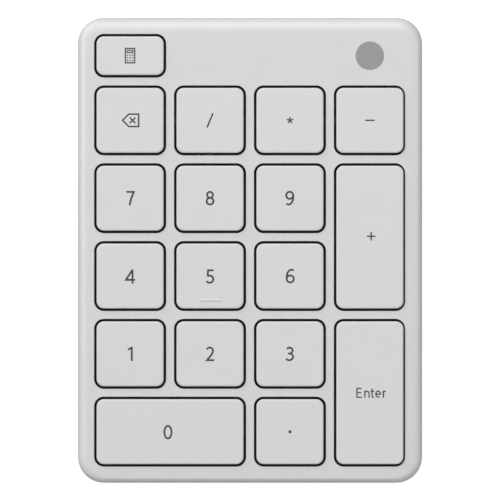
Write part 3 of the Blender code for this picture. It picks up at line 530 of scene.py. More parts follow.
def flattened(mesh):
    """The mesh with normals that follow its large faces, so that these shade flat up to their edges."""
    holder = placed("normals", mesh)
    modifier = holder.modifiers.new("weighted", "WEIGHTED_NORMAL")
    modifier.keep_sharp = True
    result = evaluated(holder)
    bpy.data.objects.remove(holder)
    return result


def piece(name, mesh, material, body, node=None, matrix=None):
    """A visible piece that rides on a body and, if a node is named, stands for that CAD node."""
    if matrix is not None:
        mesh = mesh.copy()
        mesh.transform(matrix)
    obj = placed(name, mesh, None, material)
    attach(obj, body)
    if node:
        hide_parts(node)
    return obj


# ---------- Materials ----------


def add_node(tree, kind, **inputs):
    """A shader node with some of its inputs set. An underscore in a keyword stands for a space."""
    node = tree.nodes.new(kind)
    for key, value in inputs.items():
        node.inputs[key.replace("_", " ")].default_value = value
    return node


def noise(tree, scale, detail=2.0, stretch=None):
    """A noise over the object's own coordinates, in features of about 1 / scale metres."""
    place = tree.nodes.new("ShaderNodeTexCoord")
    texture = add_node(tree, "ShaderNodeTexNoise", Scale=scale, Detail=detail)
    source = place.outputs["Object"]
    if stretch:
        mapping = add_node(tree, "ShaderNodeMapping", Scale=stretch)
        tree.links.new(source, mapping.inputs["Vector"])
        source = mapping.outputs["Vector"]
    tree.links.new(source, texture.inputs["Vector"])
    return texture.outputs["Fac"]


def remap(tree, source, low, high, first=0.3, last=0.7):
    """A value from first to last, spread over low to high. Most of a noise lies from 0.3 to 0.7."""
    ends = {"From_Min": first, "From_Max": last, "To_Min": low, "To_Max": high}
    node = add_node(tree, "ShaderNodeMapRange", **ends)
    tree.links.new(source, node.inputs["Value"])
    return node.outputs["Result"]


def tint(tree, factor, colour, spread):
    """A colour that strays to both sides of itself by a factor."""
    node = tree.nodes.new("ShaderNodeMix")
    node.data_type = "RGBA"
    node.inputs["A"].default_value = (*[c * (1 - spread) for c in colour], 1)
    node.inputs["B"].default_value = (*[c * (1 + spread) for c in colour], 1)
    tree.links.new(factor, node.inputs["Factor"])
    return node.outputs["Result"]


def surface(
    name, colour, roughness, metallic=0.0, spread=0.02, grain=(4500, 0.012), mottle=160, stretch=None
):
    """A material with a soft mottle in colour, and a finer grain in roughness and bump.

    spread is how far the colour strays, grain is (features per metre, depth in mm), and mottle is in
    features per metre.
    """
    material = bpy.data.materials.new(name)
    material.use_nodes = True
    tree = material.node_tree
    shader = tree.nodes["Principled BSDF"]
    shader.inputs["Metallic"].default_value = metallic
    soft = remap(tree, noise(tree, mottle, stretch=stretch), 0.0, 1.0)
    tree.links.new(tint(tree, soft, colour, spread), shader.inputs["Base Color"])
    fine = noise(tree, grain[0], 3.0, stretch)
    rough = remap(tree, fine, roughness - ROUGH_SPREAD, roughness + ROUGH_SPREAD)
    tree.links.new(rough, shader.inputs["Roughness"])
    bump = add_node(tree, "ShaderNodeBump", Strength=BUMP, Distance=grain[1] * MM)
    tree.links.new(fine, bump.inputs["Height"])
    tree.links.new(bump.outputs["Normal"], shader.inputs["Normal"])
    return material


def shader_of(material):
    """A material's Principled shader."""
    return material.node_tree.nodes["Principled BSDF"]


# Colours are linear.
CASE = surface("case_plastic_moulded", (0.622, 0.630, 0.643), 0.30, spread=0.008)
CAP = surface("keycap_plastic_moulded", (0.632, 0.640, 0.653), 0.38, spread=0.006, grain=(6000, 0.008))
INK = surface("legend_ink", (0.048, 0.050, 0.053), 0.45, spread=0.05, grain=(9000, 0.003))
MARK = surface("mark_ink", (0.275, 0.280, 0.286), 0.45, spread=0.03, grain=(9000, 0.003))
LINK = surface("link_acetal", (0.030, 0.030, 0.032), 0.38, spread=0.08, grain=(3000, 0.006))
SILICONE = surface("dome_silicone_moulded", (0.045, 0.046, 0.048), 0.5, spread=0.08, grain=(2500, 0.01))
FILM = surface("membrane_film_printed", (0.020, 0.021, 0.024), 0.28, spread=0.25, mottle=420)
PLATE = surface("plate_steel_coated", (0.018, 0.018, 0.020), 0.5, metallic=0.3, spread=0.15)
STEEL = surface("steel_bright", (0.62, 0.61, 0.59), 0.28, metallic=1.0, stretch=(1, 12, 12))
BOARD = surface("board_mask", (0.012, 0.085, 0.040), 0.35, spread=0.18, mottle=700)
BLACK = surface("housing_black", (0.018, 0.018, 0.019), 0.45, spread=0.1)
RUBBER = surface("foot_rubber_moulded", (0.30, 0.305, 0.31), 0.8, spread=0.06, grain=(3500, 0.03))
shader_of(SILICONE).inputs["Subsurface Weight"].default_value = 0.25
shader_of(SILICONE).inputs["Subsurface Radius"].default_value = (0.0008, 0.0008, 0.0008)


# ---------- Case ----------


def case_ring(inset, height, rear=1.0, front=1.0):
    """A ring of the case's outline. At the rear and the front its inset is a multiple of the sides'."""
    radius = max(CASE_R - inset, CASE_LEAST_R)
    length = CASE_L - inset * (rear + front)
    middle = inset * (front - rear) / 2
    return at_height(rounded(CASE_W - 2 * inset, length, radius, CORNER_STEPS, 0, middle), height)


def well_outline(key, grow=0.0):
    """The outline of a key's well. In the right column the right side is a little closer to the cap."""
    centre, size = CAP_BOXES[key]
    add = 2 * (WELL_GAP + grow)
    trim = RIGHT_TRIM if key in RIGHT_COLUMN else 0.0
    x = centre.x - trim / 2
    return rounded(size.x + add - trim, size.y + add, WELL_R + grow, KEY_STEPS, x, centre.y)


def well_profile():
    """(grow, height) down the cutter of a well, which leaves a rounded edge."""
    curve = [(WELL_EDGE * (1 - c), -WELL_EDGE * (1 - s)) for c, s in quarter(FINE_STEPS)]
    return [(WELL_EDGE, PAST), *curve, (0, -DECK_T - PAST)]


def top_case():
    """The upper shell: a flat deck, a soft shoulder, and a well with a softened edge for each key."""
    rings = []
    for c, s in [(-SHOULDER_LEAD, 1), *quarter(SHOULDER_STEPS)]:
        drop = -SHOULDER_DROP * (1 - s)
        rings.append(case_ring(SHOULDER_IN * (1 - c), drop, REAR_SHOULDER, FRONT_SHOULDER))
    rebate = PARTING + LIP_H - REBATE_GAP
    inner = LIP_IN - SLACK
    skirt = [(0, PARTING + SEAM), (SEAM, PARTING), (inner, PARTING), (inner, rebate)]
    skirt += [(WALL, rebate), (WALL, -DECK_T)]
    rings += [case_ring(inset, height) for inset, height in skirt]

    def wells(shape):
        for key in KEYS:
            add_loft(shape, [at_height(well_outline(key, grow), z) for grow, z in well_profile()])

    def posts(shape):
        root = -DECK_T + ROOT
        for x, y in SCREW_PLACES:
            add_turned(shape, [(SCREW_POST_R, root), (SCREW_POST_R, POST_END)], x=x, y=y)
        rest, head = PLATE_TOP + CLEAR, PLATE_BOTTOM - CLEAR
        profile = [(STAKE_POST_R, root), (STAKE_POST_R, rest), (STAKE_R, rest), (STAKE_R, head)]
        profile += [(STAKE_HEAD_R * c, head - STAKE_HEAD_T * s) for s, c in quarter(FINE_STEPS)[:-1]]
        for x, y in STAKE_PLACES:
            add_turned(shape, profile, SMALL_SIDES, x, y)

    def bores(shape):
        for x, y in SCREW_PLACES:
            add_turned(shape, [(SCREW_R, PARTING), (SCREW_R, POST_END - PAST)], x=x, y=y)

    steps = [
        ("DIFFERENCE", mesh_of("wells", wells), None),
        ("UNION", mesh_of("posts", posts), None),
        ("DIFFERENCE", mesh_of("bores", bores), None),
    ]
    mesh = carved("top_case_carved", mesh_of("top_case_shell", add_loft, rings), steps)
    piece("deck_shell", mesh, CASE, "case", "top_case", DECK)


def belly():
    """Rings from the edge of the level underside up the rounded belly to the outer wall."""
    rings = [case_ring(BELLY_R + BELLY_IN, lambda y: -depth(y))]
    for c, s in quarter(BELLY_STEPS):
        rise = BELLY_R * (1 - s)
        rings.append(case_ring(BELLY_R * (1 - c), lambda y, rise=rise: rise - depth(y)))
    return rings


def bottom_case():
    """The lower shell: a tray with a level underside, a lip for the top case, and the battery bay."""
    top = PARTING - GAP
    rim = PARTING + LIP_H - GAP
    walls = [(0, top - SEAM), (SEAM, top), (LIP_IN, top), (LIP_IN, rim), (WALL, rim)]
    rings = belly() + [case_ring(inset, height) for inset, height in walls]
    rings.append(case_ring(WALL, lambda y: FLOOR - depth(y)))

    def bosses(shape):
        for x, y in SCREW_PLACES:
            add_turned(shape, [(BOSS_R, FLOOR / 2 - depth(y)), (BOSS_R, POST_END - GAP)], x=x, y=y)

    def screw_holes(shape):
        wide, narrow = SCREW_HEAD_R + SLACK, SCREW_R + CLEAR
        edge = SCREW_HOLE_EDGE
        for x, y in SCREW_PLACES:
            base = -depth(y)
            seat = base + SCREW_SEAT
            profile = [(wide + edge, base - PAST), (wide + edge, base), (wide, base + edge)]
            profile += [(wide, seat), (narrow, seat), (narrow, POST_END + PAST)]
            add_turned(shape, profile, x=x, y=y)

    def bay(shape):
        root = FLOOR_TOP - FLOOR / 3
        middle = (BAY_FRONT + BAY_REAR) / 2
        outline = rounded(2 * BAY_HALF_W, BAY_REAR - BAY_FRONT, BAY_R, SOFT_STEPS, 0, middle)
        add_prism(shape, outline, root, BAY_TOP)
        shelf, end = BOARD_LOW.z - CLEAR, BOARD_HIGH.z - CLEAR
        profile = [(2 * PEG_R, root), (2 * PEG_R, shelf), (PEG_R, shelf), (PEG_R, end)]
        for x in PEGS:
            add_turned(shape, profile, SMALL_SIDES, x, BOARD_MID.y)

    def base_cuts(shape):
        radius = CELL_SIZE.x / 2 + 2 * GAP
        add_turned(shape, [(radius, DOOR_STEP), (radius, BAY_TOP + PAST)], CELL_SIDES, CELL.x, CELL.y)
        narrow, wide = BUTTON_R + SLACK, BUTTON_R + BUTTON_BORE
        hole = [(narrow + BUTTON_SOFT, 0), (narrow + BUTTON_SOFT, FOOT_H), (narrow, FOOT_H + BUTTON_SOFT)]
        hole += [(narrow, BUTTON_STEP), (wide, BUTTON_STEP), (wide, FLOOR_TOP + PAST)]
        add_turned(shape, hole, x=BUTTON.x, y=BUTTON.y)
        for foot in FEET:
            add_prism(shape, foot_outline(foot, FOOT_GAP), 0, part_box(foot)[1].z + FOOT_GAP)

    def gate(shape):
        y = (BAY_FRONT - PAST, CELL.y - GATE_REACH * CELL_SIZE.y)
        add_box(shape, (-GATE_HALF_W, GATE_HALF_W), y, (FLOOR_TOP + SLACK, BAY_TOP + PAST))

    level = DECK.inverted()
    steps = [
        ("UNION", mesh_of("bosses", bosses), None),
        ("UNION", mesh_of("bay", bay), level),
        ("DIFFERENCE", mesh_of("screw_holes", screw_holes), None),
        ("DIFFERENCE", mesh_of("base_cuts", base_cuts), level),
        ("DIFFERENCE", mesh_of("door_slot", add_loft, door_section(True)), level),
        ("DIFFERENCE", mesh_of("contact_gate", gate), level),
    ]
    mesh = carved("bottom_case_carved", mesh_of("bottom_case_shell", add_loft, rings), steps)
    piece("base_shell", mesh, CASE, "case", "bottom_case", DECK)


def door_section(is_slot):
    """Two rings of a T section, upside down: the battery door, or the slightly larger slot for it."""
    side, rise = (DOOR_GAP_SIDE, DOOR_GAP_UP) if is_slot else (0.0, 0.0)
    outer = DOOR_SIZE.x / 2 + side
    inner = outer - DOOR_TONGUE
    step, top = DOOR_STEP - rise, DOOR_HIGH.z + rise
    half = [(inner, -PAST), (inner, step), (outer, step), (outer, top)]
    section = half + [(-x, z) for x, z in reversed(half)]
    return [[(x, y, z) for x, z in section] for y in (DOOR_LOW.y - side, CASE_L)]


def battery_door():
    """The sliding door: the underside's own shape inside its T section, with three grooves as a grip."""
    hull = mesh_of("door_hull", add_loft, belly() + [case_ring(0, PARTING - GAP)])
    section = mesh_of("door_section", add_loft, door_section(False))

    def grip(shape):
        groove = arc(0, 0, GRIP_HALF_T, GRIP_DEPTH, 0, 360)[:-1]
        ends = ((-GRIP_END, GRIP_TIP), (-GRIP_HALF_W, 1), (GRIP_HALF_W, 1), (GRIP_END, GRIP_TIP))
        for i in range(GRIP_COUNT):
            y = DOOR_LOW.y + GRIP_FIRST + GRIP_STEP * i
            rings = []
            for x, scale in ends:
                rings.append([(x, y + a * scale, FOOT_H + b * scale) for a, b in groove])
            add_loft(shape, rings)

    level = DECK.inverted()
    steps = [("INTERSECT", section, level), ("DIFFERENCE", mesh_of("grip", grip), level)]
    mesh = carved("battery_door_carved", hull, steps)
    piece("battery_cover", mesh, CASE, "battery_door", "battery_door", DECK)


def foot_outline(foot, grow=0.0):
    """The outline of a foot, a bar with rounded corners."""
    centre, size = base_box(foot)
    width, length = size.x + 2 * grow, size.y + 2 * grow
    return rounded(width, length, FOOT_R + grow, FOOT_STEPS, centre.x, centre.y)


def feet():
    """Four rubber feet with soft edges, each in its pocket."""
    for foot in FEET:
        rings = [at_height(foot_outline(foot, -FOOT_SOFT - FLAT_IN), 0)]
        for c, s in quarter(SOFT_STEPS):
            rings.append(at_height(foot_outline(foot, FOOT_SOFT * (c - 1)), FOOT_SOFT * (1 - s)))
        rings.append(at_height(foot_outline(foot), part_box(foot)[1].z))
        piece(f"{foot}_pad", mesh_of(foot, add_loft, rings), RUBBER, "case", foot)


def case_screws():
    """The screws: a pan head with a cross recess, over a shank with a few turns of thread."""

    def cross(shape):
        reach, half = CROSS_REACH, CROSS_HALF
        outline = []
        for turn in range(4):
            spin = Matrix.Rotation(math.pi / 2 * turn, 2)
            for corner in ((reach, -half), (reach, half), (half, half)):
                outline.append(tuple(spin @ Vector(corner)))
        add_prism(shape, outline, -PAST, CROSS_DEPTH)

    for name, (x, y) in zip(SCREWS, SCREW_PLACES):
        low, high = box_in(DECK, name)
        seat = low.z + SCREW_HEAD_T
        profile = soft_edge(SCREW_HEAD_R, low.z, SCREW_SOFT) + [(SCREW_HEAD_R, seat), (SHANK_R, seat)]
        for turn in range(int((high.z - seat - SLACK - TIP_L) / THREAD)):
            z = seat + SLACK + turn * THREAD
            profile += [(CORE_R, z), (SHANK_R, z + THREAD / 2)]
        profile.append((TIP_R, high.z))
        steps = [("DIFFERENCE", mesh_of("recess", cross), Matrix.Translation((0, 0, low.z)))]
        mesh = carved(f"{name}_carved", mesh_of(name, add_turned, profile), steps, SCREW_SHARP)
        matrix = DECK @ Matrix.Translation((x, y, 0))
        piece(f"{name}_fine", mesh, STEEL, "case", name, matrix)


def pairing_button():
    """The button: a slightly domed face that stands just inside the underside, over a collar."""
    low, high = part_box("pairing_button")
    collar = BUTTON_STEP + COLLAR_GAP
    wide, top = BUTTON_R + COLLAR_OUT, collar + COLLAR_T
    profile = [(BUTTON_R / 2, low.z)]
    profile += soft_edge(BUTTON_R, low.z + BUTTON_CROWN, BUTTON_SOFT, FINE_STEPS)
    profile += [(BUTTON_R, collar), (wide, collar), (wide, top)]
    profile += [(BUTTON_R / 2, top), (BUTTON_R / 2, high.z)]
    mesh = mesh_of("pairing_button", add_turned, profile, BUTTON_SIDES, BUTTON.x, BUTTON.y)
    piece("pairing_key", mesh, CAP, "pairing_button", "pairing_button")


# ---------- Keys ----------


def key_matrix(key, height=0.0):
    """A frame on a key's axis, in line with the deck."""
    centre = CAP_BOXES[key][0]
    return DECK @ Matrix.Translation((centre.x, centre.y, height))


Kind = namedtuple("Kind", "width length across is_turned links dome_r")


def key_kind(key):
    """A key's kind: its cap, stabiliser, scissor and dome.

    across says whether its stabiliser lies across the key, and is None if the key has none. Short keys and
    keys that are long to the rear carry their scissor turned by a right angle.
    """
    size = CAP_BOXES[key][1]
    width, length = round(size.x, 5) - 2 * CAP_IN, round(size.y, 5) - 2 * CAP_IN
    across = width > length if max(width, length) > LONG_KEY else None
    if length < SHORT_KEY:
        return Kind(width, length, across, True, SHORT_LINK_SIZES, SHORT_DOME_R)
    return Kind(width, length, across, across is False, LINK_SIZES, DOME_R)


def catch_boxes(kind):
    """Boxes of the four catches that hold a scissor to its cap, as (x, y) pairs of (low, high)."""
    bar, gap, width = kind.links
    outer = LINK_L / 2 + CATCH_OFF
    inner = LINK_L / 2 - 2 * bar - LINK_NEST - CATCH_OFF
    inner_across = max(width / 2 - 2 * bar - gap - INNER_CATCH_IN, INNER_CATCH_LEAST)
    rows = ((outer, width / 4, OUTER_CATCH_HALF_W), (-inner, inner_across, INNER_CATCH_HALF_W))
    boxes = []
    for along, across, wide in rows:
        for side in (-1, 1):
            u = (along - CATCH_HALF_T, along + CATCH_HALF_T)
            v = (side * across - wide, side * across + wide)
            boxes.append((u, v) if kind.is_turned else (v, u))
    return boxes


def keycap_mesh(kind):
    """A hollow cap: flat top, fully rounded edges, a fine draft on its sides, and catches inside."""
    width, length, across = kind[:3]
    root = CAP_ROOF + ROOT

    def ring(inset, z):
        radius = max(CAP_R - inset, CAP_LEAST_R)
        return at_height(rounded(width - 2 * inset, length - 2 * inset, radius, KEY_STEPS), z)

    rings = [ring(CAP_EDGE + FLAT_IN, CAP_TOP)]
    for c, s in quarter(EDGE_STEPS):
        rings.append(ring((CAP_EDGE + CAP_DRAFT) * (1 - c), CAP_TOP - CAP_EDGE * (1 - s)))
    rings += [ring(0, CAP_BOTTOM), ring(CAP_WALL, CAP_BOTTOM), ring(CAP_WALL + CAP_TAPER, CAP_ROOF)]

    def catches(shape):
        for x, y in catch_boxes(kind):
            add_box(shape, x, y, (CATCH_LOW, root))
        if across is not None:
            near = WIRE_SIDE - WIRE_R - CLIP_OFF
            thick = (near - CATCH_HALF_T, near + CATCH_HALF_T)
            for end in (-CLIP_X, CLIP_X):
                wide = (end - CLIP_HALF_W, end + CLIP_HALF_W)
                x, y = (wide, thick) if across else (thick, wide)
                add_box(shape, x, y, (WIRE_Z - WIRE_R, root))

    steps = [("UNION", mesh_of("catches", catches), None)]
    return carved("keycap_carved", mesh_of("keycap_shell", add_loft, rings), steps)


def scissor_mesh(kind):
    """Two nested frames that cross at their middles, with round pivot pins through both."""
    bar, gap, width = kind.links
    inner_l = LINK_L - 2 * bar - 2 * LINK_NEST
    inner_w = width - 2 * bar - 2 * gap
    rise = (LINK_HIGH - LINK_LOW) / 2
    soft, half = LINK_SOFT, LINK_T / 2
    section = [(0, -half + soft), (soft, -half), (bar - soft, -half), (bar, -half + soft)]
    section += [(bar, half - soft), (bar - soft, half), (soft, half), (0, half - soft)]
    frames = []
    for long, wide, lean in ((LINK_L, width, 1), (inner_l, inner_w, -1)):
        rings = []
        for inset, z in section:
            radius = max(LINK_R - LINK_CORNER * inset, LINK_LEAST_R)
            outline = rounded(wide - 2 * inset, long - 2 * inset, radius, SOFT_STEPS)
            rings.append(at_height(outline, z))
        shape = bmesh.new()
        add_loft(shape, rings, closed=True)
        turn = Matrix.Rotation(lean * math.asin(rise / (long / 2 - bar / 2)), 4, "X")
        bmesh.ops.transform(shape, matrix=turn, verts=shape.verts)
        frames.append(finished(shape, "scissor_frame"))

    def pins(shape):
        for side in (-1, 1):
            ends = sorted((side * (inner_w / 2 - PIN_ROOT * bar), side * (width / 2 - PIN_END * bar)))
            add_loft(shape, [[(x, y, z) for y, z in circle(PIN_R, PIN_SIDES)] for x in ends])

    steps = [("UNION", mesh_of("pins", pins), None), ("UNION", frames[1], None)]
    mesh = carved("scissor_carved", frames[0], steps)
    if kind.is_turned:
        mesh.transform(Matrix.Rotation(-math.pi / 2, 4, "Z"))
    mesh.transform(Matrix.Translation((0, 0, (LINK_HIGH + LINK_LOW) / 2)))
    return mesh


def dome_mesh(kind):
    """A hollow rubber dome: a flared foot, a thin conical wall and a thick plunger."""
    base = kind.dome_r
    inner, seat = base - DOME_WALL, WEB_TOP + DOME_SEAT
    profile = [(share * base, DOME_TOP + z) for share, z in DOME_PLUNGER]
    profile += [(inner, WEB_TOP + DOME_INSIDE_H), (inner, seat), (base, seat), (base, WEB_TOP + DOME_RIM_H)]
    profile.append((base - DOME_RIM_IN, WEB_TOP + DOME_FOOT_H))
    profile += [(share * base, DOME_TOP + z) for share, z in DOME_CROWN]
    return mesh_of("dome", add_turned, profile, DOME_SIDES)


def squashed(obj):
    """Gives the piece a mesh of its own."""
    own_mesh(obj)


def keys():
    """The keycaps with their scissors and domes. Keys of one kind are built from the same meshes."""
    made = {}
    for key in KEYS:
        kind = key_kind(key)
        if kind not in made:
            made[kind] = (keycap_mesh(kind), scissor_mesh(kind), dome_mesh(kind))
        cap, scissor, dome = made[kind]
        matrix = key_matrix(key)
        piece(f"cap_{key}", cap, CAP, f"keycap_{key}", f"keycap_{key}", matrix)
        link = piece(f"link_{key}", scissor, LINK, "case", f"scissor_{key}", matrix)
        squashed(link)
        rubber = piece(f"dome_{key}", dome, SILICONE, "case", None, matrix)
        squashed(rubber)


def stabiliser_wires():
    """Bent steel wires, each with a long bar, two legs and two turned-out feet."""
    drop = WIRE_FOOT_Z - WIRE_Z
    reach = math.sqrt(WIRE_LEG**2 - drop**2)
    corners = []
    for side in (-1, 1):
        x = side * WIRE_HALF
        end = [(x + side * WIRE_FOOT, -reach, drop), (x, -reach, drop), (x, 0, 0)]
        corners += end if side < 0 else end[::-1]
    mesh = wire_mesh(bent([Vector(corner) for corner in corners], WIRE_BEND))
    for key in KEYS:
        across = key_kind(key).across
        if across is None:
            continue
        turn = Matrix.Identity(4) if across else Matrix.Rotation(-math.pi / 2, 4, "Z")
        matrix = key_matrix(key, WIRE_Z) @ turn @ Matrix.Translation((0, WIRE_SIDE, 0))
        name = f"stabiliser_wire_{key}"
        piece(f"wire_{key}", mesh, STEEL, name, name, matrix)


def bent(corners, radius, steps=6):
    """The path with each inner corner replaced by a short curve."""
    points = [corners[0]]
    for before, corner, after in zip(corners, corners[1:], corners[2:]):
        start = corner + (before - corner).normalized() * radius
        end = corner + (after - corner).normalized() * radius
        for i in range(steps + 1):
            t = i / steps
            points.append(start * (1 - t) ** 2 + corner * 2 * t * (1 - t) + end * t**2)
    return [*points, corners[-1]]


def wire_mesh(points):
    """A round wire along a path."""
    curve = bpy.data.curves.new("wire", "CURVE")
    curve.dimensions = "3D"
    curve.bevel_depth = WIRE_R
    curve.bevel_resolution = 4
    curve.use_fill_caps = True
    spline = curve.splines.new("POLY")
    spline.points.add(len(points) - 1)
    for place, point in zip(spline.points, points):
        place.co = (*point, 1)
    holder = placed("wire", curve)
    mesh = evaluated(holder)
    bpy.data.objects.remove(holder)
    return smoothed(mesh, WIRE_SHARP)


def dome_web():
    """The flat webs that join the domes into one moulding."""
    low, high = WEB_TOP - WEB_T, WEB_TOP
    half = WEB_HALF_W
    centres = {key: CAP_BOXES[key][0] for key in KEYS}

    def runner(shape, first, last):
        a, b = centres[first], centres[last]
        if abs(a.y - b.y) < MM:
            add_box(shape, (a.x, b.x), (b.y - half, b.y + half), (low, high))
        else:
            add_box(shape, (a.x - half, a.x + half), (b.y, a.y), (low, high))

    def bases(shape, grow, past):
        for key, centre in centres.items():
            radius = key_kind(key).dome_r + grow
            profile = [(radius, low - past), (radius, high + past)]
            add_turned(shape, profile, DOME_SIDES, centre.x, centre.y)

    ends = [("calculator", "1"), ("divide", "2"), ("multiply", "decimal"), ("minus", "enter")]
    ends.append(("0", "decimal"))
    steps = [("UNION", mesh_of("runner", runner, *pair), None) for pair in ends]
    steps.append(("UNION", mesh_of("bases", bases, WEB_RIM, 0), None))
    steps.append(("DIFFERENCE", mesh_of("hollows", bases, -WEB_RIM, PAST), None))
    mesh = carved("dome_web_carved", mesh_of("runner", runner, "backspace", "minus"), steps)
    piece("dome_web", mesh, SILICONE, "case", "dome_sheet", DECK)


# ---------- Printing ----------


def add_stroke(shape, path, width, low, high, closed=False):
    """Adds a flat line of constant width along a path, with mitred corners."""
    points = [Vector(point) for point in path]
    count = len(points)
    sections = []
    for i, point in enumerate(points):
        before = points[i] - points[i - 1] if closed or i else None
        after = points[(i + 1) % count] - points[i] if closed or i + 1 < count else None
        before = (before or after).normalized()
        after = (after or before).normalized()
        along = (before + after).normalized()
        across = Vector((-along.y, along.x)) * (width / 2 / max(along.dot(after), MITRE_LEAST))
        left, right = point + across, point - across
        corners = ((left, low), (left, high), (right, high), (right, low))
        sections.append([(corner.x, corner.y, z) for corner, z in corners])
    add_loft(shape, sections, closed)


def ellipse(cx, cy, rx, ry):
    """A closed path round an ellipse."""
    return arc(cx, cy, rx, ry, 0, 360, 40)[:-1], True


def line(*points):
    """An open path through points."""
    return list(points), False


def six():
    """A six: a round bowl under a long curve."""
    return [ellipse(0.32, 0.30, 0.245, 0.245), line(*arc(0.40, 0.45, 0.325, 0.49, 192, 62, 20))]


def turned_over(strokes, width):
    """The strokes turned by half a turn."""
    return [([(width - x, 1 - y) for x, y in path], closed) for path, closed in strokes]


def asterisk():
    """Five arms from one point."""
    arms = [math.radians(90 + 72 * i) for i in range(5)]
    return [line((0.22, 0.5), (0.22 + 0.235 * math.cos(a), 0.5 + 0.235 * math.sin(a))) for a in arms]


def word_enter():
    """The word on the Enter key, in plain strokes."""
    return [
        line((0.06, 0), (0.06, 1)),
        line((0.06, 0.945), (0.54, 0.945)),
        line((0.06, 0.51), (0.50, 0.51)),
        line((0.06, 0.055), (0.54, 0.055)),
        line((0.86, 0), (0.86, 0.72)),
        line(*arc(1.07, 0.455, 0.21, 0.21, 180, 0), (1.28, 0)),
        line((1.58, 0.93), *arc(1.74, 0.22, 0.16, 0.165, 180, 285)),
        line((1.43, 0.665), (1.80, 0.665)),
        line((1.97, 0.37), *arc(2.20, 0.37, 0.235, 0.30, 0, 310, 24)),
        line((2.72, 0), (2.72, 0.72)),
        line(*arc(2.93, 0.42, 0.21, 0.245, 180, 78)),
    ]


def digit(width, *strokes):
    """A digit for the table below."""
    return width, DIGIT_WEIGHT, strokes


# Each glyph: (its width, its strokes' width, its strokes), in units of its height.
GLYPHS = {
    "0": digit(0.62, ellipse(0.31, 0.5, 0.25, 0.44)),
    "1": digit(0.36, line((0.30, 0), (0.30, 1)), line((0.02, 0.80), (0.16, 0.86), (0.30, 0.97))),
    "2": digit(
        0.60, line(*arc(0.28, 0.715, 0.225, 0.225, 155, -22), (0.40, 0.44), (0.085, 0.06), (0.59, 0.06))
    ),
    "3": digit(
        0.58,
        line(*arc(0.26, 0.735, 0.215, 0.205, 148, -90), (0.15, 0.53)),
        line((0.15, 0.53), *arc(0.24, 0.295, 0.265, 0.235, 90, -148)),
    ),
    "4": digit(0.70, line((0.50, 0.94), (0.06, 0.27), (0.70, 0.27)), line((0.52, 0), (0.52, 1))),
    "5": digit(
        0.56,
        line((0.53, 0.94), (0.14, 0.94), (0.115, 0.52)),
        line(*arc(0.25, 0.315, 0.255, 0.255, 122, -148)),
    ),
    "6": digit(0.60, *six()),
    "7": digit(0.58, line((0.03, 0.94), (0.55, 0.94), (0.39, 0.54), (0.25, 0))),
    "8": digit(0.60, ellipse(0.30, 0.735, 0.205, 0.205), ellipse(0.30, 0.29, 0.24, 0.23)),
    "9": digit(0.60, *turned_over(six(), 0.60)),
    "divide": (0.48, 0.11, [line((0.03, 0), (0.45, 1))]),
    "multiply": (0.44, 0.10, asterisk()),
    "minus": (0.66, 0.10, [line((0, 0.5), (0.66, 0.5))]),
    "plus": (0.60, 0.10, [line((0, 0.5), (0.60, 0.5)), line((0.30, 0.2), (0.30, 0.8))]),
    "decimal": (0.22, 0.112, [ellipse(0.11, 0.5, 0.056, 0.056)]),
    "enter": (2.98, 0.125, word_enter()),
}


def add_glyph(shape, width, weight, strokes, height):
    """Adds a printed glyph, centred on the origin. Each stroke lies a hair higher than the last."""
    for number, (path, closed) in enumerate(strokes):
        points = [((x - width / 2) * height, (y - 0.5) * height) for x, y in path]
        add_stroke(shape, points, weight * height, INK_LOW, INK_HIGH + number * INK_LIFT, closed)


def in_mm(*points):
    """Points given in millimetres, in metres."""
    return [(x * MM, y * MM) for x, y in points]


def add_calculator(shape):
    """Adds a small drawing of a pocket calculator: a case, a display and nine buttons."""
    case = in_mm((-1.1, -1.72), (1.1, -1.72), (1.1, 1.72), (-1.1, 1.72))
    add_stroke(shape, case, 0.30 * MM, INK_LOW, INK_HIGH, True)
    display = in_mm((-0.68, 0.75), (0.68, 0.75), (0.68, 1.25), (-0.68, 1.25))
    add_stroke(shape, display, 0.26 * MM, INK_LOW, INK_HIGH, True)
    for column in (-1, 0, 1):
        for row in (0, 1, 2):
            x, y = 0.6 * column * MM, (0.12 - 0.65 * row) * MM
            add_prism(shape, circle(0.18 * MM, DOT_SIDES, x, y), INK_LOW, INK_HIGH)


def add_backspace(shape):
    """Adds the usual sign for rubbing out: a tag that points to the left, with a cross in it."""
    tag = in_mm((-1.78, 0), (-0.30, -1.48), (2.05, -1.48), (2.05, 1.48), (-0.30, 1.48))
    add_stroke(shape, tag, 0.36 * MM, INK_LOW, INK_HIGH, True)
    for number, side in enumerate((-1, 1)):
        ends = in_mm((-0.08, -side * 0.68), (1.28, side * 0.68))
        add_stroke(shape, ends, 0.34 * MM, INK_LOW, INK_HIGH + number * INK_LIFT)


def printing():
    """The legends on the caps."""
    for key in KEYS:
        dx, dy = LEGEND_SHIFT.get(key, (0, 0))
        if key == "calculator":
            mesh = mesh_of("calculator", add_calculator)
        elif key == "backspace":
            mesh = mesh_of("backspace", add_backspace)
        else:
            mesh = mesh_of("glyph", add_glyph, *GLYPHS[key], ENTER_H if key == "enter" else DIGIT_H)
        matrix = key_matrix(key) @ Matrix.Translation((dx, dy, 0))
        piece(f"legend_{key}", mesh, INK, f"keycap_{key}", None, matrix)


def homing_bar():
    """The low bar under the finger on the 5."""
    rings = [at_height(rounded(BAR_L, BAR_W, BAR_SOFT, BAR_STEPS), CAP_TOP - CLEAR)]
    for c, s in reversed(quarter(FINE_STEPS)):
        shrink = BAR_SOFT * (1 - c)
        ring = rounded(BAR_L - 2 * shrink, BAR_W - 2 * shrink, BAR_R - shrink, BAR_STEPS)
        rings.append(at_height(ring, CAP_TOP + BAR_H * s))
    mesh = mesh_of("homing_bar", add_loft, rings)
    matrix = key_matrix("5") @ Matrix.Translation((0, BAR_Y, 0))
    piece("homing_bar", mesh, CAP, "keycap_5", None, matrix)


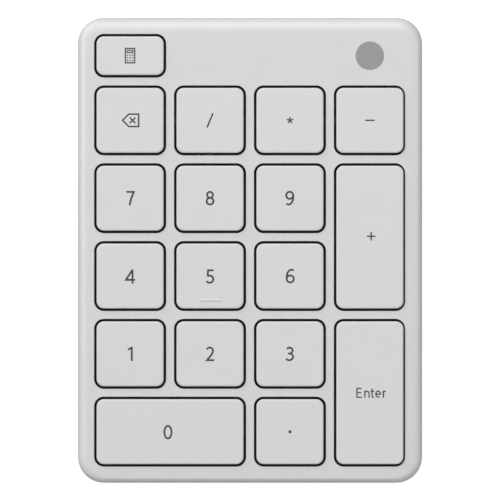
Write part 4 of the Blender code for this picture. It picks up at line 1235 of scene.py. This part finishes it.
def round_mark():
    """A plain round mark on the deck, in line with the minus key and the calculator key."""
    disc = mesh_of("round_mark", add_turned, [(MARK_R, -INK_ROOT), (MARK_R, INK_T)], MARK_SIDES)
    place = (CAP_BOXES["minus"][0].x, CAP_BOXES["calculator"][0].y, 0)
    piece("round_mark", disc, MARK, "case", None, DECK @ Matrix.Translation(place))


# ---------- Battery and electronics ----------


def coin_cell():
    """The cell: a can with a rolled rim, a dark sealing ring and a smaller raised cap."""
    low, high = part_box("coin_cell")
    radius = CELL_SIZE.x / 2 + CELL_OVER
    shelf = high.z - CELL_SHELF
    foot = shelf - CLEAR
    seal_r, cap_r = radius - SEAL_IN, radius - CELL_CAP_IN

    def part(name, profile, material, node=None):
        mesh = mesh_of(name, add_turned, profile, CELL_SIDES, CELL.x, CELL.y)
        piece(name, mesh, material, "case", node)

    can = [(radius - CELL_BASE_IN, low.z), *soft_edge(radius, low.z, CELL_SOFT)]
    can += [*soft_rim(radius, shelf, CELL_SHELF_SOFT), (radius - CELL_BASE_IN, shelf)]
    part("cell_can", can, STEEL, "coin_cell")
    seal = [(seal_r, foot), (seal_r, high.z - SEAL_EDGE), (seal_r - SEAL_W, high.z - SEAL_DROP)]
    part("cell_seal", seal, BLACK)
    part("cell_cap", [(cap_r, foot), *soft_rim(cap_r, high.z, CELL_CAP_SOFT)], STEEL)


def board_parts():
    """Small chip parts with metal ends, soldered to the board's underside."""
    for row in range(CHIP_ROWS):
        for column in range(CHIP_COLUMNS):
            x = CHIP_X[0] + CHIP_X[1] * column
            y = BOARD_MID.y + CHIP_Y[0] + CHIP_Y[1] * row
            long, wide, thick = SMALL_CHIP if (row + column) % 3 else LARGE_CHIP
            z = (BOARD_LOW.z - thick, BOARD_LOW.z + CHIP_SINK)
            across = (x - wide / 2, x + wide / 2)
            body = mesh_of("chip", add_box, across, (y - long / 3, y + long / 3), z)
            piece(f"chip_{row}_{column}", body, BLACK, "case")
            ends = bmesh.new()
            add_box(ends, across, (y - long / 2, y - long / 3), z)
            add_box(ends, across, (y + long / 3, y + long / 2), z)
            name = f"chip_ends_{row}_{column}"
            piece(name, finished(ends, "chip_ends"), STEEL, "case")


def carried_over():
    """Materials of the CAD nodes that stay."""
    finishes = {
        "support_plate": PLATE,
        "membrane_circuit": FILM,
        "negative_contact": STEEL,
        "positive_contact": STEEL,
        "main_board": BOARD,
        "radio_can": STEEL,
        "tail_connector": BLACK,
        "pairing_switch": BLACK,
    }
    for name, material in finishes.items():
        mesh = NODES[name].data
        mesh.materials.clear()
        mesh.materials.append(material)


# ---------- Studio ----------


def floor_material():
    """A pale material that glows a little."""
    material = bpy.data.materials.new("floor_pale")
    material.use_nodes = True
    shader = shader_of(material)
    shader.inputs["Base Color"].default_value = (STAGE_GREY, STAGE_GREY, STAGE_GREY, 1)
    shader.inputs["Roughness"].default_value = STAGE_ROUGH
    shader.inputs["Emission Color"].default_value = (1, 1, 1, 1)
    shader.inputs["Emission Strength"].default_value = STAGE_GLOW
    return material


def area_light(name, place, size, power):
    """A square area light that faces the origin."""
    data = bpy.data.lights.new(name, "AREA")
    data.shape = "SQUARE"
    data.size = size
    data.energy = power
    light = placed(name, data)
    light.location = place
    light.rotation_euler = (-Vector(place)).to_track_quat("-Z", "Y").to_euler()


def studio():
    """A pale floor under a soft sky, soft lights, and a camera square to the deck."""
    sides = (-STAGE_HALF, STAGE_HALF)
    slab = mesh_of("floor", add_box, sides, sides, (-STAGE_T, 0))
    floor = placed("floor", slab, None, floor_material())
    floor.visible_diffuse = False
    floor.visible_glossy = False
    bpy.context.scene.world = sky()
    for name, light in LIGHTS.items():
        area_light(name, *light)

    data = bpy.data.cameras.new("camera")
    data.lens = LENS
    data.sensor_width = SENSOR
    data.clip_end = CLIP_END
    distance = VIEW_W / 2 / (SENSOR / 2 / LENS)
    camera = placed("camera", data, DECK @ Matrix.Translation((0, VIEW_UP, distance)))
    bpy.context.scene.camera = camera
    bpy.context.scene.view_settings.view_transform = "Standard"


def sky():
    """A white world that grows a little brighter from just below the horizon upwards."""
    world = bpy.data.worlds.new("studio")
    world.use_nodes = True
    tree = world.node_tree
    place = tree.nodes.new("ShaderNodeTexCoord")
    split = tree.nodes.new("ShaderNodeSeparateXYZ")
    tree.links.new(place.outputs["Generated"], split.inputs["Vector"])
    glow = remap(tree, split.outputs["Z"], *SKY_GLOW, *SKY_RISE)
    tree.links.new(glow, tree.nodes["Background"].inputs["Strength"])
    tree.nodes["Background"].inputs["Color"].default_value = (1, 1, 1, 1)
    return world


top_case()
bottom_case()
battery_door()
feet()
case_screws()
pairing_button()
keys()
stabiliser_wires()
dome_web()
printing()
homing_bar()
round_mark()
coin_cell()
board_parts()
carried_over()
studio()
